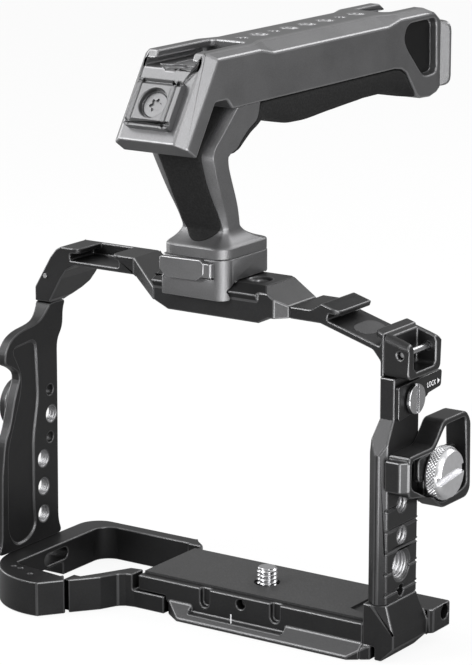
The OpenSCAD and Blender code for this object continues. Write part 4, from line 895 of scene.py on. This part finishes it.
def neck_pad():
    """The rubber pad on the neck's front, lofted along it and round at its lower end."""
    low, _ = box_mm("qr_body")
    round_top = PAD_END + PAD_ROUND
    half_across = (0.3, 0.6, 0.85, 0.94, 0.985, 1.0)
    across = [-share for share in reversed(half_across)] + [0.0, *half_across]
    rise = [PAD_END + PAD_ROUND * (1 - math.cos(math.pi / 2 * k / 12)) for k in range(13)]
    rise += [round_top + (PAD_TOP - round_top) * k / 44 for k in range(1, 45)]
    points, faces, wide = [], [], len(across)
    for height in rise:
        drop = min(1.0, max(0.0, (round_top - height) / PAD_ROUND))
        half = pad_half(height) * max(math.sqrt(1 - drop * drop), 0.03)
        ahead, behind = neck_front(height + 0.05, low), neck_front(height - 0.05, low)
        normal = Vector((0.0, -0.1, ahead - behind)).normalized()
        for share in across:
            swell = PAD_THICK * math.sqrt(1 - abs(share) ** 10) * math.sqrt(max(1 - drop ** 8, 0.0))
            points.append((share * half, (ahead + behind) / 2 + normal.y * swell, height + normal.z * swell))
    front = len(points)
    for x, y, z in points[:front]:
        points.append((x * 0.98, y + 1.3, z + 0.15))
    for side, flip in ((0, False), (front, True)):
        for j in range(len(rise) - 1):
            for i in range(wide - 1):
                a = side + j * wide + i
                ring = (a, a + 1, a + wide + 1, a + wide)
                faces.append(ring[::-1] if flip else ring)
    rim = list(range(wide))
    rim += [(j + 1) * wide - 1 for j in range(1, len(rise))]
    rim += [(len(rise) - 1) * wide + i for i in range(wide - 2, -1, -1)]
    rim += [j * wide for j in range(len(rise) - 2, 0, -1)]
    for k, a in enumerate(rim):
        b = rim[(k + 1) % len(rim)]
        faces.append((b, a, a + front, b + front))
    thing = piece("neck_pad_moulded", [(points, faces)], AT_HANDLE, "handle", RUBBER)
    smooth(thing, 40.0)
    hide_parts("neck_pad")


def moulded_pad(node, name, voxel, finish):
    """A node's solid remeshed fine and relaxed, so that its edges are round as moulded rubber's."""
    source = nodes[node]
    mesh = source.data.copy()
    mesh.name = name
    mesh.transform(source.matrix_world)
    thing = add_object(name, mesh)
    mesh.materials.clear()
    mesh.materials.append(finish)
    weld = thing.modifiers.new("join_faces", "WELD")
    weld.merge_threshold = WELD_GAP
    cells = thing.modifiers.new("even_cells", "REMESH")
    cells.mode = "VOXEL"
    cells.voxel_size = voxel * MM
    cells.use_smooth_shade = True
    relax = thing.modifiers.new("rounding", "SMOOTH")
    relax.factor = 0.5
    relax.iterations = 6
    apply_modifiers(thing)
    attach(thing, "handle")
    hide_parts(node)


# Castings with rounder edges than their solids


def reworked(node, name, body, rounds, rest, finishes):
    """A node's solid with chosen edges rounded first, each by its own radius, and the rest broken lightly."""
    source = nodes[node]
    shape = bmesh.new()
    shape.from_mesh(source.data)
    shape.transform(source.matrix_world)
    bmesh.ops.remove_doubles(shape, verts=shape.verts[:], dist=WELD_GAP)
    bmesh.ops.dissolve_limit(shape, angle_limit=FLAT_ANGLE, verts=shape.verts[:], edges=shape.edges[:])
    for chosen, radius, segments in rounds:
        edges = []
        for edge in shape.edges:
            if len(edge.link_faces) == 2 and edge.calc_face_angle() > math.radians(25.0):
                ends = [tuple(c / MM for c in v.co) for v in edge.verts]
                if chosen(ends, edge.is_convex):
                    edges.append(edge)
        bmesh.ops.bevel(shape, geom=edges, offset=radius * MM, segments=segments, profile=0.5,
                        affect="EDGES", clamp_overlap=False, loop_slide=False)
    mesh = bpy.data.meshes.new(name)
    shape.to_mesh(mesh)
    shape.free()
    thing = add_object(name, mesh)
    for finish in finishes:
        mesh.materials.append(finish)
    smooth(thing, 30.0)
    bevel_edges(thing, rest * MM, 2)
    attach(thing, body)
    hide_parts(node)
    return thing


def strap_box():
    """The box at the top right corner, with round corners outside and in its window."""
    low, high = box_mm("strap_box")

    def along_x(ends):
        span = [abs(a - b) for a, b in zip(*ends)]
        return span[0] > 0.4 and span[1] < 0.02 and span[2] < 2.0 * span[0]

    def corner(ends, convex):
        y = ends[0][1]
        return along_x(ends) and convex and min(abs(y - low[1]), abs(y - high[1])) < 0.05

    def inside(ends, convex):
        return along_x(ends) and not convex

    reworked("strap_box", "strap_box_rounded", "cage", [(corner, 2.0, 5), (inside, 1.6, 5)], 0.45,
             (CAGE, CAGE_CHAMFER_HIGHLIGHT))


def clamp_body():
    """The quick-release body, with its front right corner well rounded."""
    thing = reworked("qr_body", "clamp_body_rounded", "handle", [], 0.4, (HANDLE, HANDLE_CHAMFER_HIGHLIGHT))
    low, high = box_mm("qr_body")
    radius, over, steps = 4.6, 1.0, 12
    x, y = high[0] - radius, low[1] + radius
    wedge = [(high[0] + over, low[1] - over), (high[0] + over, y)]
    for k in range(steps + 1):
        turn = math.pi / 2 * k / steps
        wedge.append((x + radius * math.cos(turn), y - radius * math.sin(turn)))
    wedge.append((x, low[1] - over))
    cut(thing, [prism(wedge[::-1], low[2] - over, high[2] + over)], HERE)
    smooth(thing, 28.0)


# The release lever and the lock slide

LEVER_PIVOT = (-23.96, -15.72, 0.0)


def release_lever():
    """The clamp's lever: a plate with cut corners, an engraved line, its barrel and its far end."""
    low, high = box_mm("qr_lever")
    x0, x1, z0, z1 = low[0] - 0.4, high[0] - 2.6, low[2] - 0.2, high[2] + 0.3
    front, back = low[1] + 0.1, low[1] + 2.3
    corners = [(x0 + 1.9, z0), (x1 - 2.2, z0), (x1, z0 + 1.7), (x1, z1 - 0.7), (x1 - 0.9, z1),
               (x0, z1), (x0, z0 + 2.0)]
    outline = rounded(corners, [0.3, 0.5, 0.5, 0.4, 0.3, 0.5, 0.5], 4)
    place = FROM_FRONT
    flat = prism(outline, front, back)
    thing = piece("release_lever_plate", [flat], place, "release_lever", LEVER, LEVER_HIGHLIGHT_AND_LINE)

    half, radius, deep = 4.5, 0.75, 0.3
    x, z = (x0 + x1) / 2 - 0.5, (z0 + z1) / 2
    groove = rounded(window(x - half, x + half, z - radius, z + radius), [radius * 0.98] * 4)
    cut(thing, [prism(groove, front - 0.5, front + deep)], place)
    within = window(x - 0.92 * half, x + 0.92 * half, z - 0.5 * radius, z + 0.5 * radius)
    line = prism(rounded(within, [radius * 0.48] * 4), front + 0.02, front + deep + 0.2)
    island = piece("release_lever_line", [line], place, "release_lever", LEVER_HIGHLIGHT_AND_LINE)
    soften(thing, 0.22)
    soften(island, 0.1, 1)

    barrel_r, edge = 1.7, 0.25
    barrel = lathe([(0, low[2]), (barrel_r - edge, low[2]), (barrel_r, low[2] + edge),
                    (barrel_r, high[2] - edge), (barrel_r - edge, high[2]), (0, high[2])], 32)
    hinge = piece("release_lever_barrel", [barrel], along((0, 0, 1), LEVER_PIVOT), "release_lever", LEVER)
    smooth(hinge)
    tip = rounded(window(x1 - 0.6, x1 + 2.4, back - 1.3, back + 0.3), [0.3] * 4, 3)
    end_shape = prism(tip, z0 + 0.6, z1 - 0.2)
    end = piece("release_lever_tip", [end_shape], HERE, "release_lever", LEVER, LEVER_HIGHLIGHT_AND_LINE)
    soften(end, 0.2)
    for part in (thing, island, hinge, end):
        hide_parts("qr_lever")


def lock_slide():
    """The lock slide: a plate with a long recess round its screw, and the tab that carries the word."""
    low, high = box_mm("lock_slide")
    y0, y1, z0, z1 = low[1], high[1], low[2], high[2]
    tab_z = z1 - 4.8
    corners = [(y0, z0), (y0 + 12.4, z0), (y0 + 15.2, z0 + 2.9), (y0 + 16.6, tab_z),
               (y1, tab_z), (y1, z1), (y0, z1)]
    outline = rounded(corners, [1.2, 2.4, 2.2, 1.6, 1.0, 0.7, 1.2], 6)
    place = FROM_RIGHT
    flat = prism(outline, low[0], high[0])
    thing = piece("lock_slide_plate", [flat], place, "lock_slide", CAGE, LEVER_HIGHLIGHT_AND_LINE)
    y, z = LOCK_SCREW_AT
    for reach, radius, deep in ((2.3, 4.75, 0.75), (2.1, 2.55, 3.0)):
        bottom, top = max(z - radius, z0 + 0.35), min(z + radius, z1 - 0.3)
        opening = window(y - reach - radius, y + reach * 0.5 + radius, bottom, top)
        hollow = rounded(opening, [0.46 * (top - bottom)] * 4, 8)
        cut(thing, [prism(hollow, high[0] - deep, high[0] + 1.0)], place)
    soften(thing, 0.3)

    # A black sheet on the recess floor: painted shade under the screw head.
    bed = rounded(window(-8.3, 4.1, z0 + 0.6, z1 - 0.55), [4.2] * 4, 8)
    floor = prism(bed, high[0] - 0.76, high[0] - 0.68)
    recess_shade_sheet = piece("lock_slide_recess_shade", [floor], place, "lock_slide", BLACK_AND_SHADE)
    slot = rounded(window(-6.15, 2.1, z - 2.55, z + 2.55), [2.5] * 4, 8)
    cut(recess_shade_sheet, [prism(slot, high[0] - 2.0, high[0] + 1.0)], place)
    for part in (thing, recess_shade_sheet):
        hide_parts("lock_slide")


# Small marks, the strap bar, and what shows in the holes and the seam


def lock_sign():
    """The word that says which way the slide locks, printed on its tab, with an arrowhead."""
    place = Matrix.Translation((51.93, 6.45, 79.6)) @ FROM_RIGHT
    word = bpy.data.curves.new("lock_word", "FONT")
    word.body = "LOCK"
    word.size = 2.25
    word.extrude = 0.02
    word.materials.append(INK)
    thing = add_object("lock_word", word)
    thing.matrix_world = Matrix.Scale(MM, 4) @ place @ Matrix.Diagonal((0.86, 1.0, 1.0, 1.0))
    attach(thing, "lock_slide")
    head = prism([(6.15, -0.05), (6.15, 1.6), (7.4, 0.78)], -0.02, 0.03)
    arrow = piece("lock_arrow", [head], place, "lock_slide", INK)


def index_line():
    """The white line on the base's front that marks the lens axis."""
    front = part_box("base_plate")[0][1] / MM
    mark = block((0.45, 0.08, 2.9), (-0.6, front, 4.9))
    thing = piece("lens_axis_mark", [mark], HERE, "cage", INK)


def seam_shade_block():
    """A dark block in the joint between the battery ring and the front link, set back a little: painted shade
    that closes the seam.
    """
    low, high = box_mm("front_link")
    key = block((2.6, 5.2, high[2] - 0.9), (low[0] + 0.1, low[1] + 3.5, high[2] / 2))
    thing = piece("seam_shade_block", [key], HERE, "cage", BLACK_AND_SHADE, BLACK_CHAMFER_HIGHLIGHT)
    soften(thing, 0.15)


def shoe_patch():
    """A lighter oval patch on the right cold shoe's sloping floor."""
    half_x, half_y, squareness, steps = 3.3, 6.2, 0.7, 40
    slope = math.radians(16.4)
    place = Matrix.Translation((36.14, -0.5, 97.21)) @ Matrix.Rotation(slope, 4, "Y")

    def fuller(value):
        return math.copysign(abs(value) ** squareness, value)

    outline = []
    for k in range(steps):
        turn = 2 * math.pi * k / steps
        outline.append((half_x * fuller(math.cos(turn)), half_y * fuller(math.sin(turn))))
    thing = piece("shoe_floor_patch", [prism(outline, -0.2, 0.05)], place, "cage", LIGHTER_PATCH)


def strap_pin():
    """The strap bar across the window, its front end sunk in the bore."""
    middle = (52.19, 0.0, 92.61)
    finish = turned_steel("strap_bar_steel", grey(0.5), 1, scaled(middle, MM), 0.22)
    low, high = (v[1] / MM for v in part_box("strap_pin"))
    radius, tip_r, start, end = 1.08, 0.8, low + 1.3, high - 0.2
    rod = lathe([(0, start), (tip_r, start), (radius, start + 0.3), (radius, end - 0.3),
                 (tip_r, end), (0, end)], 32)
    thing = piece("strap_bar", [rod], along((0, 1, 0), middle), "cage", finish)
    smooth(thing)
    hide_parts("strap_pin")


def thread_liners():
    """Thread turns inside the tapped holes, each just inside its bore."""
    liner = brushed_steel("tapped_metal", grey(0.42), 0.42)
    quarter_bore, large_bore, thread_depth, wall = 2.65, 4.1, 0.42, 0.12
    grip_holes = [((0, 0, 1), (HANDLE_X, y, 168.5), 8.5) for y in (19.10, 35.81, 45.94, 56.45, 74.80)]
    panel_places = ((1.8, 51.89), (-2.7, 37.98), (-2.7, 28.78), (-2.91, 19.70))
    panel_holes = [((1, 0, 0), (-87.3, y, z), 3.1) for y, z in panel_places]
    post_holes = [((1, 0, 0), (43.7, -4.47, z), 6.6) for z in (36.83, 46.45)]
    large_hole = [((1, 0, 0), (43.7, -4.47, 27.6), 5.8)]
    groups = {
        "grip_threads": ("handle", grip_holes, quarter_bore),
        "panel_threads": ("cage", panel_holes, quarter_bore),
        "post_threads": ("cage", post_holes, quarter_bore),
        "post_thread_large": ("cage", large_hole, large_bore),
    }
    for name, (body, holes, bore) in groups.items():
        parts = []
        for axis, place, depth in holes:
            points, faces = thread(bore - 0.02, bore - thread_depth, 0.15, depth, QUARTER_PITCH, bore + wall)
            frame_at = along(axis, place)
            parts.append(([tuple(frame_at @ Vector(p)) for p in points], faces))
        thing = piece(name, parts, HERE, body, liner)
        smooth(thing, 40)


camera_screw()
clip_knob()
lock_screw()
front_plate()
front_plate_screw()
handle_neck()
neck_pad()
moulded_pad("finger_pad", "finger_pad_moulded", 0.7, RUBBER)
lock_sign()
index_line()
strap_pin()
thread_liners()
strap_box()
clamp_body()
release_lever()
lock_slide()
seam_shade_block()
shoe_patch()


# Floor, light and camera

FLOOR_HALF = 3.0
FLOOR_DROP = 0.2 * MM
FLOOR_GLOW = 0.9
SKY_LOW = 0.3
SKY_RISE = 0.5


def seen_directly(tree):
    """1 for what the camera sees itself or through something clear, and 0 for other light."""
    path = tree.nodes.new("ShaderNodeLightPath")
    return math_node(tree, "MAXIMUM", path.outputs["Is Camera Ray"], path.outputs["Is Transmission Ray"])


def softbox(name, place, size, power, target=(0.0, 0.0, 0.09)):
    """A rectangular light that the camera doesn't see, aimed at a place."""
    lamp = bpy.data.lights.new(name, "AREA")
    lamp.shape = "RECTANGLE"
    lamp.size, lamp.size_y = size
    lamp.energy = power
    thing = add_object(name, lamp)
    thing.location = place
    aim = Vector(target) - Vector(place)
    thing.rotation_euler = aim.to_track_quat("-Z", "Y").to_euler()
    thing.visible_camera = False


def studio():
    """A white surround, a floor that takes the shadow, and the softboxes."""
    world = bpy.data.worlds.new("studio")
    bpy.context.scene.world = world
    world.use_nodes = True
    tree = world.node_tree
    back = tree.nodes["Background"]
    seen = seen_directly(tree)
    way = tree.nodes.new("ShaderNodeTexCoord").outputs["Generated"]
    split = tree.nodes.new("ShaderNodeSeparateXYZ")
    tree.links.new(way, split.inputs[0])
    height = ramp(tree, split.outputs["Z"], 0.1, 0.9)
    sky = multiply_add(tree, height, SKY_RISE, SKY_LOW)
    back.inputs["Color"].default_value = (1, 1, 1, 1)
    tree.links.new(math_node(tree, "MAXIMUM", seen, sky), back.inputs["Strength"])

    sheet = bpy.data.meshes.new("floor")
    corners = [(x, y, -FLOOR_DROP) for x, y in rectangle(FLOOR_HALF, FLOOR_HALF)]
    sheet.from_pydata(corners, [], [(0, 1, 2, 3)])
    floor = add_object("floor", sheet)
    mat, tree, shader = material("floor_paper")
    seen = seen_directly(tree)
    paper = mix_colour(tree, seen, (0.3, 0.3, 0.3), (0.86, 0.86, 0.86))
    set_inputs(tree, shader, Base_Color=paper, Roughness=0.9, Specular_IOR_Level=0.1)
    glow = tree.nodes.new("ShaderNodeEmission")
    mix = tree.nodes.new("ShaderNodeMixShader")
    shown = math_node(tree, "MULTIPLY", seen, FLOOR_GLOW)
    for socket, source in zip(mix.inputs, (shown, shader.outputs[0], glow.outputs[0])):
        tree.links.new(source, socket)
    tree.links.new(mix.outputs[0], tree.nodes["Material Output"].inputs["Surface"])
    sheet.materials.append(mat)

    softbox("front_left", (-0.6, -0.42, 0.95), (0.6, 0.6), 3.6)
    softbox("front", (-0.45, -0.76, 0.5), (0.3, 0.24), 3.2)
    softbox("right", (0.55, -0.3, 0.36), (0.3, 0.72), 3.2)
    softbox("low_right", (0.3, -0.19, 0.004), (0.3, 0.4), 2.1, (0.31, -0.2, 0.4))
    softbox("left", (-0.6, 0.0, 0.22), (0.35, 0.4), 1.8)
    softbox("rear_top", (0.35, 0.8, 0.75), (0.8, 0.35), 3.0)


CAMERA_PLACE = (0.4731, -0.7185, 0.3018)
CAMERA_TILT = 13.8
CAMERA_TURN = 34.0
FOCAL_PIXELS = 2940.0
PHOTO_HEIGHT = 665.0
SENSOR = 36.0


def camera():
    data = bpy.data.cameras.new("camera")
    data.sensor_width = SENSOR
    data.lens = SENSOR * FOCAL_PIXELS / PHOTO_HEIGHT
    data.clip_start = 0.05
    data.clip_end = 20.0
    thing = add_object("camera", data)
    thing.location = CAMERA_PLACE
    thing.rotation_euler = (math.radians(90.0 - CAMERA_TILT), 0.0, math.radians(CAMERA_TURN))
    bpy.context.scene.camera = thing


studio()
camera()
bpy.context.scene.view_settings.view_transform = "Standard"
